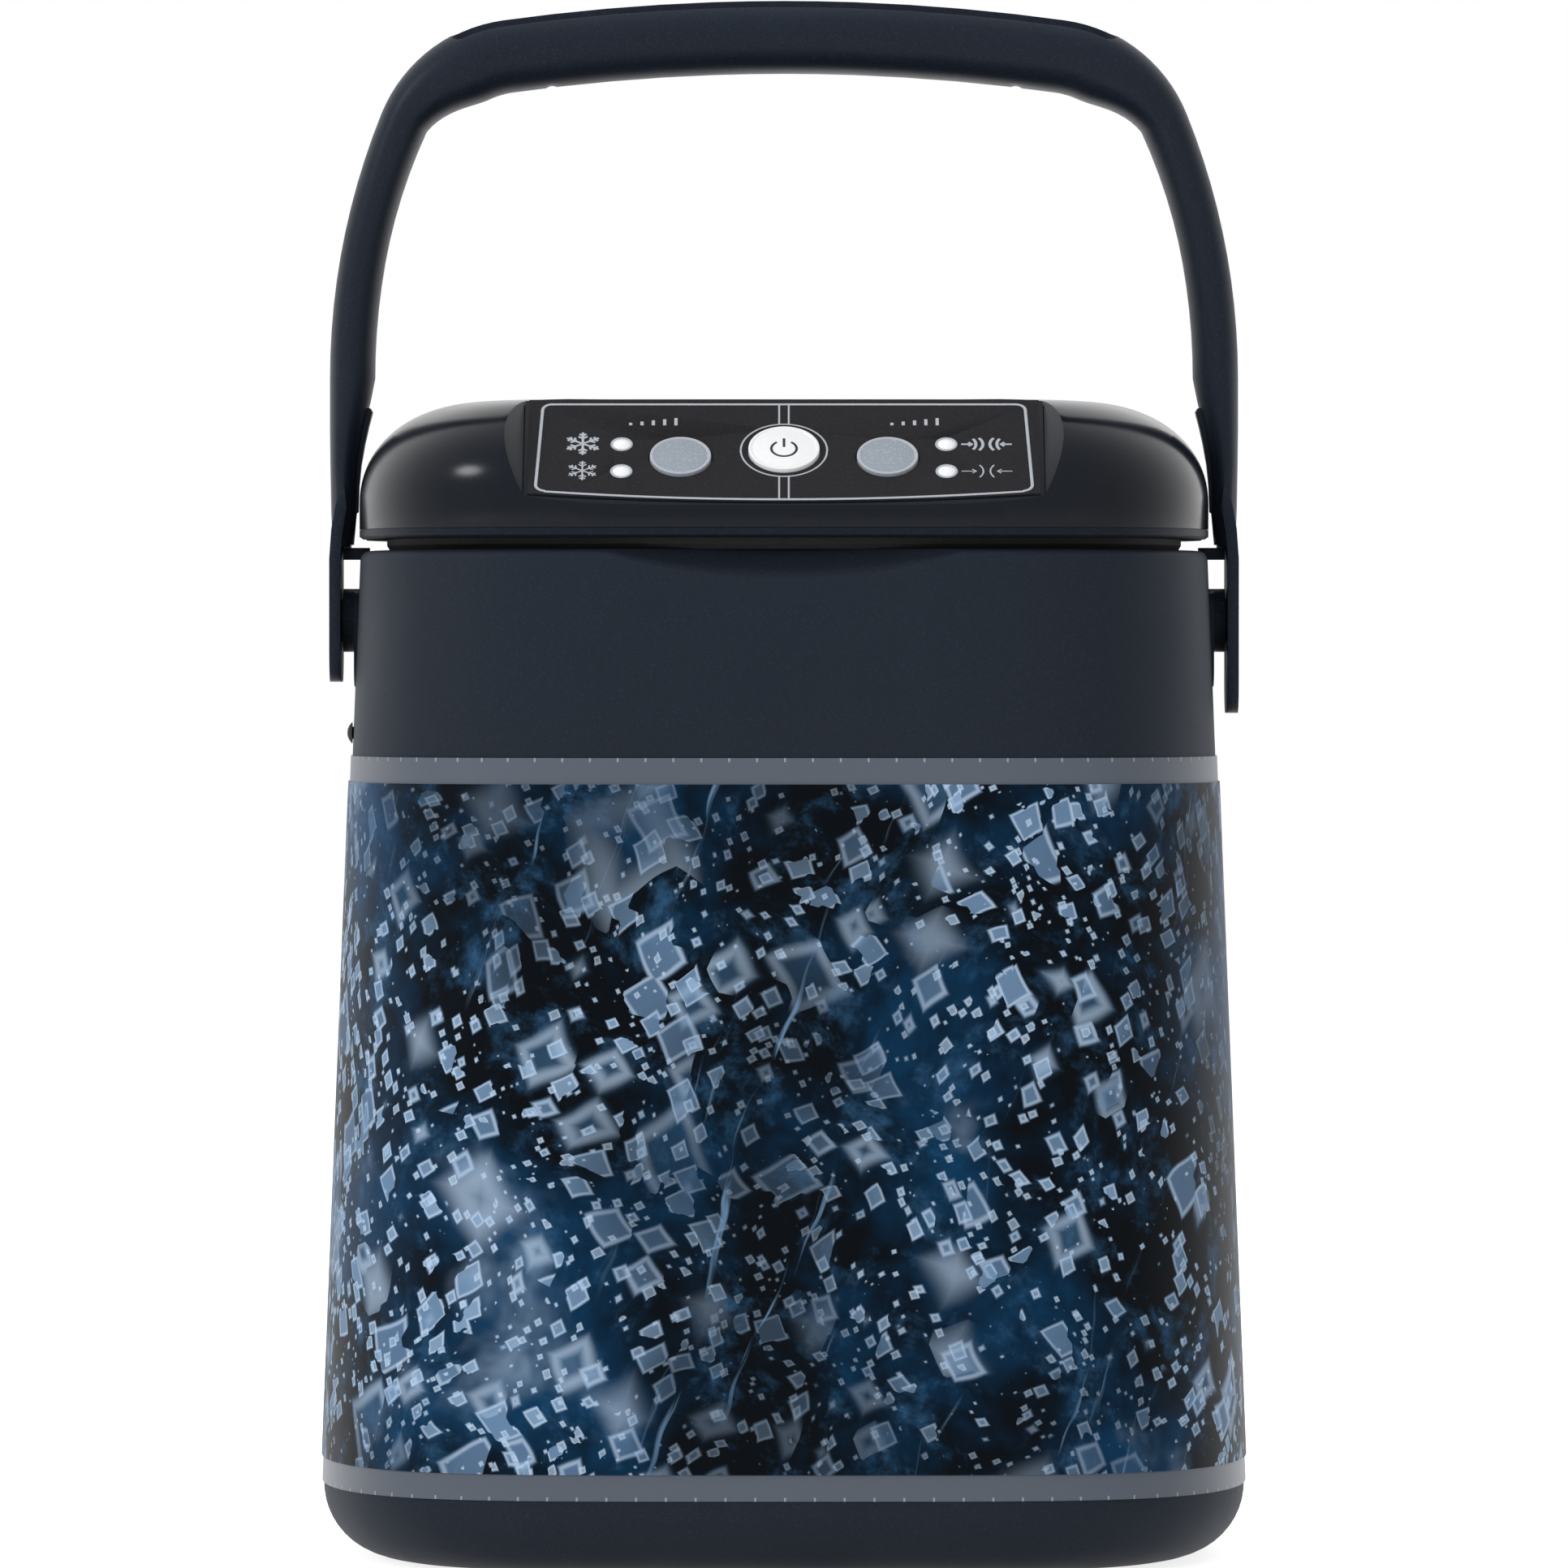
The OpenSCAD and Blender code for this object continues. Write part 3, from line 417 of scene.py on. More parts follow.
def make_shard_group():
    """Field of frosty four-sided shards of mixed sizes, soft or crisp, with bright rims."""
    group, gin, gout = new_group(
        "ice_shards",
        [("Vector", "Vector", None), ("Scale", "Float", 60.0), ("Size", "Float", 0.5),
            ("Blur", "Float", 0.1), ("Kept", "Float", 0.5)],
        [("Body", "Float"), ("Rim", "Float")])
    cells = group.nodes.new("ShaderNodeTexVoronoi")
    cells.distance = "MANHATTAN"
    group.links.new(gin.outputs["Vector"], cells.inputs["Vector"])
    group.links.new(gin.outputs["Scale"], cells.inputs["Scale"])
    chance = group.nodes.new("ShaderNodeSeparateColor")
    group.links.new(cells.outputs["Color"], chance.inputs[0])
    radius = maths(group, "MULTIPLY", gin.outputs["Size"], chance.outputs[0])
    inner = maths(group, "SUBTRACT", radius, gin.outputs["Blur"])
    body = remap(group, cells.outputs["Distance"], radius, inner)
    kept = maths(group, "LESS_THAN", chance.outputs[1], gin.outputs["Kept"])
    away = maths(group, "ABSOLUTE", maths(group, "SUBTRACT", cells.outputs["Distance"], inner))
    rim = remap(group, away, maths(group, "MULTIPLY", gin.outputs["Blur"], 0.7), 0.0)
    big_enough = maths(group, "GREATER_THAN", inner, 0.0)
    shown = maths(group, "MULTIPLY", kept, big_enough)
    group.links.new(maths(group, "MULTIPLY", body, shown), gout.inputs["Body"])
    group.links.new(maths(group, "MULTIPLY", rim, shown), gout.inputs["Rim"])
    return group


SPECKLE = make_speckle_group()
WEAR = make_wear_group()
SHARDS = make_shard_group()


def new_material(name):
    material = bpy.data.materials.new(name)
    material.use_nodes = True
    tree = material.node_tree
    return material, tree, tree.nodes["Principled BSDF"]


def placed(tree, group, vector, **values):
    node = tree.nodes.new("ShaderNodeGroup")
    node.node_tree = group
    tree.links.new(vector, node.inputs["Vector"])
    for key, value in values.items():
        node.inputs[key].default_value = value
    return node


def object_vector(tree):
    return tree.nodes.new("ShaderNodeTexCoord").outputs["Object"]


def bumped(tree, shader, height, strength, distance=0.0002):
    bump = tree.nodes.new("ShaderNodeBump")
    bump.inputs["Strength"].default_value = strength
    bump.inputs["Distance"].default_value = distance
    tree.links.new(height, bump.inputs["Height"])
    tree.links.new(bump.outputs["Normal"], shader.inputs["Normal"])


def plastic(name, code, rough, speck_code=None, specks=0.5, grain=0.25, coat=0.0, wear=0.3, scale=1200.0,
        shine=0.4):
    """Moulded plastic with its own grain, specks, gloss variation and handling marks."""
    material, tree, shader = new_material(name)
    vector = object_vector(tree)
    moulding = placed(tree, SPECKLE, vector, Scale=scale, Threshold=0.55)
    marks = placed(tree, WEAR, vector)
    base = colour(code)
    light = colour(speck_code or code)
    speckled = mix_colour(tree, maths(tree, "MULTIPLY", moulding.outputs["Specks"], specks), base, light)
    worn = tuple(min(1.0, c * 1.35 + 0.01) for c in base[:3]) + (1.0,)
    smeared = mix_colour(tree, maths(tree, "MULTIPLY", marks.outputs["Smear"], wear * 0.25), speckled, worn)
    tree.links.new(smeared, shader.inputs["Base Color"])
    gloss = remap(tree, moulding.outputs["Gloss"], 0.3, 0.7, rough - 0.05, rough + 0.05, "LINEAR")
    dulled = maths(tree, "ADD", gloss, maths(tree, "MULTIPLY", marks.outputs["Smear"], 0.10 * wear))
    scratched = maths(
        tree, "ADD", dulled, maths(tree, "MULTIPLY", marks.outputs["Scratch"], 0.15 * wear), clamp=True)
    tree.links.new(scratched, shader.inputs["Roughness"])
    shader.inputs["Specular IOR Level"].default_value = shine
    shader.inputs["Coat Weight"].default_value = coat
    shader.inputs["Coat Roughness"].default_value = 0.08
    if grain:
        bumped(tree, shader, moulding.outputs["Height"], grain)
    return material


def metal(name, code, rough):
    material, tree, shader = new_material(name)
    vector = object_vector(tree)
    marks = placed(tree, WEAR, vector)
    dull = tuple(c * 0.8 for c in colour(code)[:3]) + (1.0,)
    tint = mix_colour(tree, marks.outputs["Smear"], colour(code), dull)
    tree.links.new(tint, shader.inputs["Base Color"])
    shader.inputs["Metallic"].default_value = 1.0
    rougher = remap(tree, marks.outputs["Smear"], 0.0, 1.0, rough, rough + 0.12, "LINEAR")
    tree.links.new(rougher, shader.inputs["Roughness"])
    return material


def band_material():
    """Grey film with faint trim nicks along both edges of the band."""
    material, tree, shader = new_material("grey_band_film")
    uv = tree.nodes.new("ShaderNodeUVMap")
    uv.uv_map = "around"
    parts = tree.nodes.new("ShaderNodeSeparateXYZ")
    tree.links.new(uv.outputs[0], parts.inputs[0])
    moulding = placed(tree, SPECKLE, object_vector(tree), Scale=900.0, Threshold=0.55)
    step = maths(tree, "FRACT", maths(tree, "DIVIDE", parts.outputs[0], 0.0068))
    tick = maths(tree, "LESS_THAN", step, 0.07)
    low = maths(tree, "LESS_THAN", parts.outputs[1], (BAND_LOW + 0.9) * M)
    high = maths(tree, "GREATER_THAN", parts.outputs[1], (BAND_HIGH - 0.9) * M)
    nick = maths(tree, "MULTIPLY", tick, maths(tree, "MAXIMUM", low, high))
    shade = mix_colour(
        tree, maths(tree, "MULTIPLY", moulding.outputs["Gloss"], 0.5), colour("#565d68"), colour("#4c535e"))
    tree.links.new(mix_colour(tree, nick, shade, colour("#8d949d")), shader.inputs["Base Color"])
    shader.inputs["Roughness"].default_value = 0.38
    shader.inputs["Specular IOR Level"].default_value = 0.3
    return material


def print_material():
    """Generic frost artwork: crowded pale angular shards and soft clouds over deep navy."""
    material, tree, shader = new_material("frost_print")
    uv = tree.nodes.new("ShaderNodeUVMap")
    uv.uv_map = "around"
    turned = tree.nodes.new("ShaderNodeMapping")
    turned.inputs["Rotation"].default_value = (0, 0, 0.35)
    tree.links.new(uv.outputs[0], turned.inputs["Vector"])
    base = turned.outputs[0]
    warp = noise(tree, base, 26.0, 2.0)
    bend = tree.nodes.new("ShaderNodeVectorMath")
    bend.operation = "MULTIPLY_ADD"
    tree.links.new(warp.outputs["Color"], bend.inputs[0])
    bend.inputs[1].default_value = (0.016, 0.016, 0.0)
    tree.links.new(base, bend.inputs[2])
    vector = bend.outputs[0]
    deep = noise(tree, vector, 13.0, 5.0, 0.62)
    ground = mix_colour(
        tree, remap(tree, deep.outputs[0], 0.44, 0.68), colour("#000409"), colour("#0c3a5c"))
    fine = noise(tree, vector, 60.0, 5.0, 0.7)
    ground = mix_colour(
        tree, remap(tree, fine.outputs[0], 0.50, 0.78, 0.0, 0.55), ground, colour("#3f6f99"))
    crystals = (
        (36.0, 1.10, 0.50, 0.60, "#234768", 0.60), (60.0, 1.00, 0.28, 0.50, "#44698c", 0.60),
        (90.0, 0.95, 0.16, 0.42, "#7394b8", 0.75), (140.0, 0.95, 0.14, 0.42, "#84a6ca", 0.80),
        (230.0, 0.90, 0.20, 0.42, "#98b8d9", 0.85), (400.0, 0.85, 0.25, 0.35, "#b0cae4", 0.75))
    drift = noise(tree, vector, 9.0, 2.0)
    crowd = remap(tree, drift.outputs[0], 0.42, 0.58, 0.2, 1.0)
    picture = ground
    for scale, size, blur, kept, code, strength in crystals:
        field = placed(tree, SHARDS, vector, Scale=scale, Size=size, Blur=blur, Kept=kept)
        inside = maths(tree, "MULTIPLY", field.outputs["Body"], strength * 0.75)
        picture = mix_colour(tree, maths(tree, "MULTIPLY", inside, crowd), picture, colour(code))
        edge = maths(tree, "MULTIPLY", field.outputs["Rim"], strength)
        line = maths(tree, "MULTIPLY", edge, crowd)
        picture = mix_colour(tree, maths(tree, "MULTIPLY", line, 0.7), picture, colour("#c3d8ee"))
    streaks = tree.nodes.new("ShaderNodeMapping")
    streaks.inputs["Rotation"].default_value = (0, 0, 1.1)
    streaks.inputs["Scale"].default_value = (1.0, 0.06, 1.0)
    tree.links.new(vector, streaks.inputs["Vector"])
    fibre = noise(tree, streaks.outputs[0], 240.0, 3.0, 0.6)
    sparse = remap(tree, drift.outputs[0], 0.56, 0.40)
    needles = maths(tree, "MULTIPLY", remap(tree, fibre.outputs[0], 0.63, 0.72), sparse)
    picture = mix_colour(tree, maths(tree, "MULTIPLY", needles, 0.6), picture, colour("#7fa5c9"))
    cloud = noise(tree, vector, 12.0, 5.0, 0.55)
    veil = remap(tree, cloud.outputs[0], 0.58, 0.76, 0.0, 0.8)
    picture = mix_colour(tree, veil, picture, colour("#a9c3df"))
    tree.links.new(picture, shader.inputs["Base Color"])
    shader.inputs["Roughness"].default_value = 0.45
    shader.inputs["Specular IOR Level"].default_value = 0.06
    return material


MATERIALS = {
    "tub": plastic("tub_plastic", "#20262f", 0.55, "#2d3540", 0.4, 0.12, scale=2200.0, shine=0.08),
    "handle": plastic("handle_plastic", "#1b212b", 0.42, "#2b333f", 0.45, 0.12, scale=2200.0, shine=0.1),
    "mount": plastic("mount_plastic", "#1a1f27", 0.5, "#2c333d", 0.4, 0.15, shine=0.08),
    "lid": plastic("lid_gloss", "#0e131b", 0.16, "#161d27", 0.3, 0.02, coat=0.0, wear=0.2, shine=0.14),
    "tray": plastic("tray_plastic", "#171c24", 0.42, "#252c36", 0.4, 0.12, shine=0.08),
    "seal": plastic("seal_rubber", "#0b0c0e", 0.7, "#1a1b1e", 0.3, 0.3),
    "band": band_material(),
    "print": print_material(),
    "liner": plastic("liner_plastic", "#c9cdd0", 0.4, "#d9dcde", 0.5, 0.06),
    "foam": plastic("insulation_foam", "#d8cfae", 0.9, "#efe7cb", 0.6, 0.8, scale=700.0),
    "overlay": plastic("panel_film", "#222224", 0.6, "#303033", 0.6, 0.2, scale=2400.0, shine=0.08),
    "ink": plastic("pale_ink", "#a9adb5", 0.6, "#b9bdc4", 0.3, 0.0),
    "dark_ink": plastic("dark_ink", "#232428", 0.5, "#303136", 0.3, 0.0),
    "white": plastic("white_cap", "#e6e7e8", 0.35, "#f1f2f2", 0.4, 0.05),
    "grey": plastic("grey_cap", "#8b939c", 0.5, "#a4abb3", 0.7, 0.15, scale=1900.0),
    "lamp": plastic("milky_lens", "#eceef0", 0.25, "#f8f8f8", 0.3, 0.0, coat=0.3),
    "board": plastic("board_lacquer", "#1a5235", 0.35, "#27683f", 0.4, 0.05),
    "switch": plastic("switch_black", "#1a1a1b", 0.5, "#2a2a2c", 0.4, 0.1),
    "pump": plastic("pump_plastic", "#23282f", 0.5, "#363d46", 0.4, 0.15),
    "rotor": plastic("rotor_plastic", "#bcc1c7", 0.45, "#d0d4d8", 0.4, 0.08),
    "hose": plastic("soft_hose", "#a3abb2", 0.3, "#b4bbc1", 0.4, 0.05, coat=0.2),
    "screw": metal("screw_steel", "#b9bcc0", 0.28),
    "can": metal("motor_can", "#9aa0a6", 0.35),
    "copper": metal("copper", "#b87848", 0.3),
}


# ---- tub ----

def base_edge(inside, steps):
    rings = []
    for k in range(steps + 1):
        lean = 90 * k / steps
        r = BASE_EDGE_R - inside
        rings.append(tub_ring(BASE_EDGE_R - r * sine(lean), BASE_EDGE_R - r * cosine(lean)))
    return rings


def make_tub():
    foot = BASE_EDGE_R + 9
    rim_round = [
        tub_ring(RIM_ROUND_R * (1 - cosine(a)), RIM_Z - RIM_ROUND_R * (1 - sine(a)))
        for a in range(0, 91, 15)]
    rings = [tub_ring(foot + 2, 2), tub_ring(foot, 0)] + base_edge(0, 12)
    rings += [tub_ring(0, z) for z in (60, 110, 160, 200)]
    rings += rim_round
    rings += [tub_ring(RIM_W, RIM_Z), tub_ring(RIM_W, RIM_Z - 4), tub_ring(SHELL_T, RIM_Z - 10.8)]
    rings += base_edge(SHELL_T, 4)[::-1]
    rings += [tub_ring(foot, 4.6)]
    tub = plan_loft(rings)
    for side in (-1, 1):
        lug = block(LUG_SIZE, (side * LUG_X, 0, LUG_Z))
        cut(tub, lug, "UNION")
        seat = block(SEAT_SIZE, (side * SEAT_X, 0, SEAT_Z))
        cut(tub, seat)
        cut(tub, rod(HINGE_SCREW_R, 20, (side * 100, 0, PIVOT_Z), "X"))
    cut(tub, rod(FILL_HOLE_R, 20, (-100, FILL_HOLE_Y, FILL_HOLE_Z), "X"))
    scoop_r = (SCOOP_HALF_W ** 2 + SCOOP_H ** 2) / (2 * SCOOP_H)
    clear_selection()
    bpy.ops.mesh.primitive_cylinder_add(vertices=512, radius=scoop_r * M, depth=0.04)
    scoop = bpy.context.object
    place(scoop, Matrix.Rotation(math.pi / 2, 4, "X"))
    place(scoop, Matrix.Translation((0, 0, scoop_r * M)))
    place(scoop, Matrix.Rotation(math.radians(PANEL_ANGLE), 4, "X"))
    place(scoop, Matrix.Translation((0, -RIM_HALF_D * M, (RIM_Z - SCOOP_H) * M)))
    cut(tub, scoop)
    soften(tub, 0.5, 30, 3)
    smooth(tub, 28)
    finish_piece(tub, "tub_body", "tub", MATERIALS["tub"], "tub_plastic", "tub_shell")


def lay_around(obj):
    """UV map named around: distance along the wall from the middle of the front, and height."""
    turns = 720
    path = [0.0]
    points = [plan_point(TUB_HALF_W * M, TUB_HALF_D * M, -90 + 360 * k / turns) for k in range(turns + 1)]
    for a, b in zip(points, points[1:]):
        path.append(path[-1] + math.dist(a, b))
    layer = obj.data.uv_layers.new(name="around")
    for loop in obj.data.loops:
        x, y, z = obj.data.vertices[loop.vertex_index].co
        half_w = (TUB_HALF_W - DRAFT * z / M) * M
        half_d = (TUB_HALF_D - DRAFT * z / M) * M
        c = power_of(x / half_w, FRONT_POWER / 2)
        s = power_of(y / half_d, SIDE_POWER / 2)
        turn = (math.degrees(math.atan2(s, c)) + 90) % 360
        place_on = turn / 360 * turns
        k = min(int(place_on), turns - 1)
        along = path[k] + (path[k + 1] - path[k]) * (place_on - k)
        if turn > 180:
            along -= path[-1]
        layer.data[loop.index].uv = (along, z)


def wrap_sheet(low, high, inside):
    half_seam = math.degrees(math.asin((SEAM_GAP / 2 / TUB_HALF_W) ** (FRONT_POWER / 2)))
    heights = [low + (high - low) * k / 8 for k in range(9)]
    rings = [tub_ring(-inside, z) for z in heights]
    sheet = plan_loft(rings, 90 + half_seam, 360 - 2 * half_seam, PLAN_N + 1)
    in_edit(sheet)
    bpy.ops.mesh.normals_make_consistent(inside=False)
    leave_edit()
    apply_modifier(sheet, "SOLIDIFY", thickness=LABEL_T * M, offset=1.0)
    smooth(sheet, 40)
    lay_around(sheet)
    return sheet


def make_label():
    band = wrap_sheet(BAND_LOW, BAND_HIGH, 0.05)
    finish_piece(band, "label_strip", "tub", MATERIALS["band"], "band_film", "label_band")
    art = wrap_sheet(BAND_LOW + PRINT_MARGIN, BAND_HIGH - PRINT_MARGIN, LABEL_T + 0.1)
    finish_piece(art, "label_art", "tub", MATERIALS["print"], "print_film", "label_print")


# ---- lid ----

def lid_body(wall, low, steps=24):
    w, h = SHOULDER_W - wall, SHOULDER_H - wall
    rings = [lid_ring(wall, low)]
    for k in range(steps + 1):
        lean = 90 * k / steps
        inset = wall + w * (1 - power_of(cosine(lean), 2 / SHOULDER_POWER))
        rise = h * power_of(sine(lean), 2 / SHOULDER_POWER)
        rings.append(lid_ring(inset, SHOULDER_Z + rise - (0.12 if k == steps else 0)))
    rings.append(lid_ring(wall + w + 18, SHOULDER_Z + h))
    return plan_loft(rings)


def panel_space(wall):
    deep = PANEL_SPACE
    flare = deep * math.tan(math.radians(PANEL_FLARE))
    half = PANEL_HALF_W + wall * 1.3
    space = block((2 * half, 120, deep), (0, 0, deep / 2))
    in_edit(space, everything=False)
    leave_edit()
    for face in space.data.polygons:
        face.select = face.normal.z > 0.5
    pick(space)
    bpy.ops.object.mode_set(mode="EDIT")
    bpy.ops.mesh.select_mode(type="FACE")
    bpy.ops.transform.resize(value=((half + flare) / half, 1, 1), center_override=(0, 0, 0))
    leave_edit()
    place(space, PANEL_PLACE @ Matrix.Translation((0, 0, -wall * M)))
    return space


def panel_hole(obj, x, v, radius):
    hole = rod(radius, 10, (x, v, 0), "Z", 64)
    place(hole, PANEL_PLACE)
    cut(obj, hole)


def make_lid_cover():
    cover = lid_body(0, COVER_Z)
    hollow = lid_body(COVER_T, COVER_Z - 1, 12)
    for shell, wall in ((cover, 0.0), (hollow, COVER_T)):
        cut(shell, panel_space(wall))
        for side in (-1, 1):
            relief = block((20, 28 + 2 * wall, 40), (side * (102 - wall), 0, 250))
            cut(shell, relief)
        bay = block((2 * (36 + wall), 20, 40), (0, BAY_Y - wall + 10, 261 - wall))
        cut(shell, bay)
    cut(cover, hollow)
    panel_hole(cover, 0, POWER_V, POWER_R + 0.3)
    for side in (-1, 1):
        panel_hole(cover, side * MODE_X, MODE_V, MODE_R + 0.3)
        for v in LAMP_V:
            panel_hole(cover, side * LAMP_X, v, LAMP_R + 0.1)
    socket = block((42.4, 12, 16.4), (-7, BAY_Y, PORT_Z))
    soften(socket, 4.9, 60, 6)
    cut(cover, socket)
    cut(cover, rod(4.7, 12, (26, BAY_Y, PORT_Z), "Y"))
    soften(cover, 0.45, 30, 3)
    smooth(cover, 35)
    finish_piece(cover, "lid_shell", "lid", MATERIALS["lid"], "lid_gloss", "lid_cover")


# ---- handle ----

GRIP_LEAN = math.degrees(math.asin(GRIP_HALF_W / GRIP_ARC_R))
CORNER_X = GRIP_HALF_W + CORNER_ARC_R * (sine(SIDE_LEAN) - sine(GRIP_LEAN))
CORNER_Z = (HANDLE_TOP - GRIP_ARC_R * (1 - cosine(GRIP_LEAN))
    - CORNER_ARC_R * (cosine(GRIP_LEAN) - cosine(SIDE_LEAN)))
SIDE_ARC_R = (ARM_HALF_W - CORNER_X) / (1 - sine(SIDE_LEAN))
ARM_Z = CORNER_Z - SIDE_ARC_R * cosine(SIDE_LEAN)


def ease(u):
    u = max(0.0, min(1.0, u))
    return u * u * (3 - 2 * u)


def arch_point(lean):
    """Outer edge of the arch where its outward normal leans by so many degrees from upright."""
    if lean <= GRIP_LEAN:
        return GRIP_ARC_R * sine(lean), HANDLE_TOP - GRIP_ARC_R * (1 - cosine(lean))
    if lean <= SIDE_LEAN:
        x = GRIP_HALF_W + CORNER_ARC_R * (sine(lean) - sine(GRIP_LEAN))
        z = HANDLE_TOP - GRIP_ARC_R * (1 - cosine(GRIP_LEAN))
        return x, z - CORNER_ARC_R * (cosine(GRIP_LEAN) - cosine(lean))
    return ARM_HALF_W - SIDE_ARC_R * (1 - sine(lean)), ARM_Z + SIDE_ARC_R * cosine(lean)


def both_halves(half):
    """Stations of x, z, lean, thickness and depth for the whole arch, from those of its right half."""
    return half + [(-x, z, -lean, t, d) for x, z, lean, t, d in half[::-1] if lean > 0]


def arch_sweep(stations, profile, middle_y=0.0):
    """Skin swept round the arch; the profile is a loop of depth and drop, each a share of the size."""
    clear_selection()
    bpy.ops.mesh.primitive_circle_add(vertices=len(profile), radius=1, fill_type="NOTHING")
    obj = bpy.context.object
    x, z, lean, t, d = stations[0]
    for vertex, (across, drop) in zip(obj.data.vertices, profile):
        vertex.co = (x * M, (middle_y + across * d) * M, (z - drop * t) * M)

    def tilt(turn, x, z):
        bpy.ops.transform.rotate(
            value=-math.radians(turn), orient_axis="Y", center_override=(x * M, 0, z * M))

    in_edit(obj)
    bpy.ops.mesh.select_mode(type="VERT")
    bpy.ops.mesh.select_all(action="SELECT")
    tilt(lean, x, z)
    for nx, nz, next_lean, nt, nd in stations[1:]:
        bpy.ops.mesh.extrude_region_move()
        tilt(-lean, x, z)
        bpy.ops.transform.resize(
            value=(1, nd / d, nt / t), center_override=(x * M, middle_y * M, z * M))
        tilt(next_lean, x, z)
        bpy.ops.transform.translate(value=((nx - x) * M, 0, (nz - z) * M))
        x, z, lean, t, d = nx, nz, next_lean, nt, nd
    bpy.ops.mesh.select_all(action="SELECT")
    bpy.ops.mesh.fill_holes(sides=0)
    bpy.ops.mesh.select_all(action="SELECT")
    bpy.ops.mesh.normals_make_consistent(inside=False)
    leave_edit()
    return obj


def bar_profile(sides=56):
    turns = [360 * k / sides for k in range(sides)]
    return [
        (-0.5 * power_of(cosine(a), BAR_POWER), 0.5 * (1 - power_of(sine(a), BAR_POWER))) for a in turns]


def make_bar():
    half = [
        (HUB_OUT - 0.4, 235.3, 90, 5.0, 16), (HUB_OUT - 0.1, 243, 90, 6.0, 19),
        (ARM_HALF_W - 0.1, ARM_Z - 20, 90, 6.6, 21.5), (ARM_HALF_W, ARM_Z - 12, 90, 8.0, ARM_D),
        (ARM_HALF_W, ARM_Z - 5, 90, 9.6, ARM_D)]
    leans = [90 - 2 * k for k in range(11)] + [SIDE_LEAN - 4 * k for k in range(15)]
    leans += [GRIP_LEAN, 6.5, 5, 3.5, 2, 1, 0]
    for lean in leans:
        x, z = arch_point(lean)
        t = GRIP_T + (ARM_T - GRIP_T) * ease((lean - 25) / 55)
        d = GRIP_D + (ARM_D - GRIP_D) * ease((lean - 30) / 50)
        half.append((x, z, lean, t, d))
    return arch_sweep(both_halves(half), bar_profile())


def make_recess_cutter():
    half = []
    for share in (1, 0.995, 0.98, 0.96, 0.935, 0.905, 0.87, 0.8, 0.7, 0.6, 0.5, 0.4, 0.3, 0.2, 0.1, 0.04, 0):
        lean = RECESS_END * share
        x, z = arch_point(lean)
        w = RECESS_W * max(0.1, math.sqrt(max(0, 1 - ((share - 0.85) / 0.15) ** 2)) if share > 0.85 else 1)
        half.append((x, z, lean, 1, w))
    corners = [(-0.5, -4), (0.5, -4), (0.5, RECESS_DEPTH), (-0.5, RECESS_DEPTH)]
    return arch_sweep(both_halves(half), corners, RECESS_MID)


def outline_solid(points, depth):
    """Plate cut to an outline of x and y in millimetres, as thick as depth about its own middle."""
    curve = bpy.data.curves.new("outline", "CURVE")
    curve.dimensions = "2D"
    curve.fill_mode = "BOTH"
    curve.extrude = depth / 2 * M
    line = curve.splines.new("POLY")
    line.points.add(len(points) - 1)
    line.use_cyclic_u = True
    for knot, (x, y) in zip(line.points, points):
        knot.co = (x * M, y * M, 0, 1)
    obj = bpy.data.objects.new("outline", curve)
    bpy.context.scene.collection.objects.link(obj)
    pick(obj)
    bpy.ops.object.convert(target="MESH")
    obj = bpy.context.object
    out_facing(obj)
    return obj


SIDE_ON = Matrix(((0, 0, 1, 0), (1, 0, 0, 0), (0, 1, 0, 0), (0, 0, 0, 1)))
FRONT_ON = Matrix.Rotation(math.pi / 2, 4, "X")


def round_corner(x, y, radius, start):
    return arc(x, y, radius, start, start + 90, 10)


def make_hub_plate(side, tail):
    half_d, r = 12.5, 7.0
    top, low = 250.8, PIVOT_Z - tail
    outline = (
        round_corner(half_d - r, low + r, r, 270) + round_corner(half_d - r, top - r, r, 0)
        + round_corner(r - half_d, top - r, r, 90) + round_corner(r - half_d, low + r, r, 180))
    plate = outline_solid(outline, 10)
    place(plate, Matrix.Translation((side * 105.7 * M, 0, 0)) @ SIDE_ON)
    profile = [
        (HUB_IN, low - 1), (HUB_OUT, low - 1), (HUB_OUT, 232), (HUB_OUT - 0.5, 239), (HUB_OUT - 1.6, 245),
        (102.9, 249.8), (HUB_IN - 1.5, 244), (HUB_IN - 0.5, 238), (HUB_IN, 232)]
    lean_in = outline_solid([(side * x, z) for x, z in profile], 40)
    place(lean_in, FRONT_ON)
    cut(plate, lean_in, "INTERSECT")
    return plate


def make_lock_block(side):
    arcs = [(17.6, 75 + 3 * k) for k in range(11)] + [(23.6, 105 - 3 * k) for k in range(11)]
    shape = outline_solid([(r * cosine(a), PIVOT_Z + r * sine(a)) for r, a in arcs], 2.5)
    place(shape, Matrix.Translation((side * 102.85 * M, 0, 0)) @ SIDE_ON)
    return shape


def make_arm_rib(side):
    edge = [
        (104, 240), (99.9, 243), (99.7, 249), (99.2, 254), (98.3, 259), (97.4, 263), (96.5, 266.4),
        (97.0, 267.3), (98, 267.4), (104, 266.4)]
    rib = outline_solid([(side * x, z) for x, z in edge], 9)
    place(rib, FRONT_ON)
    return rib


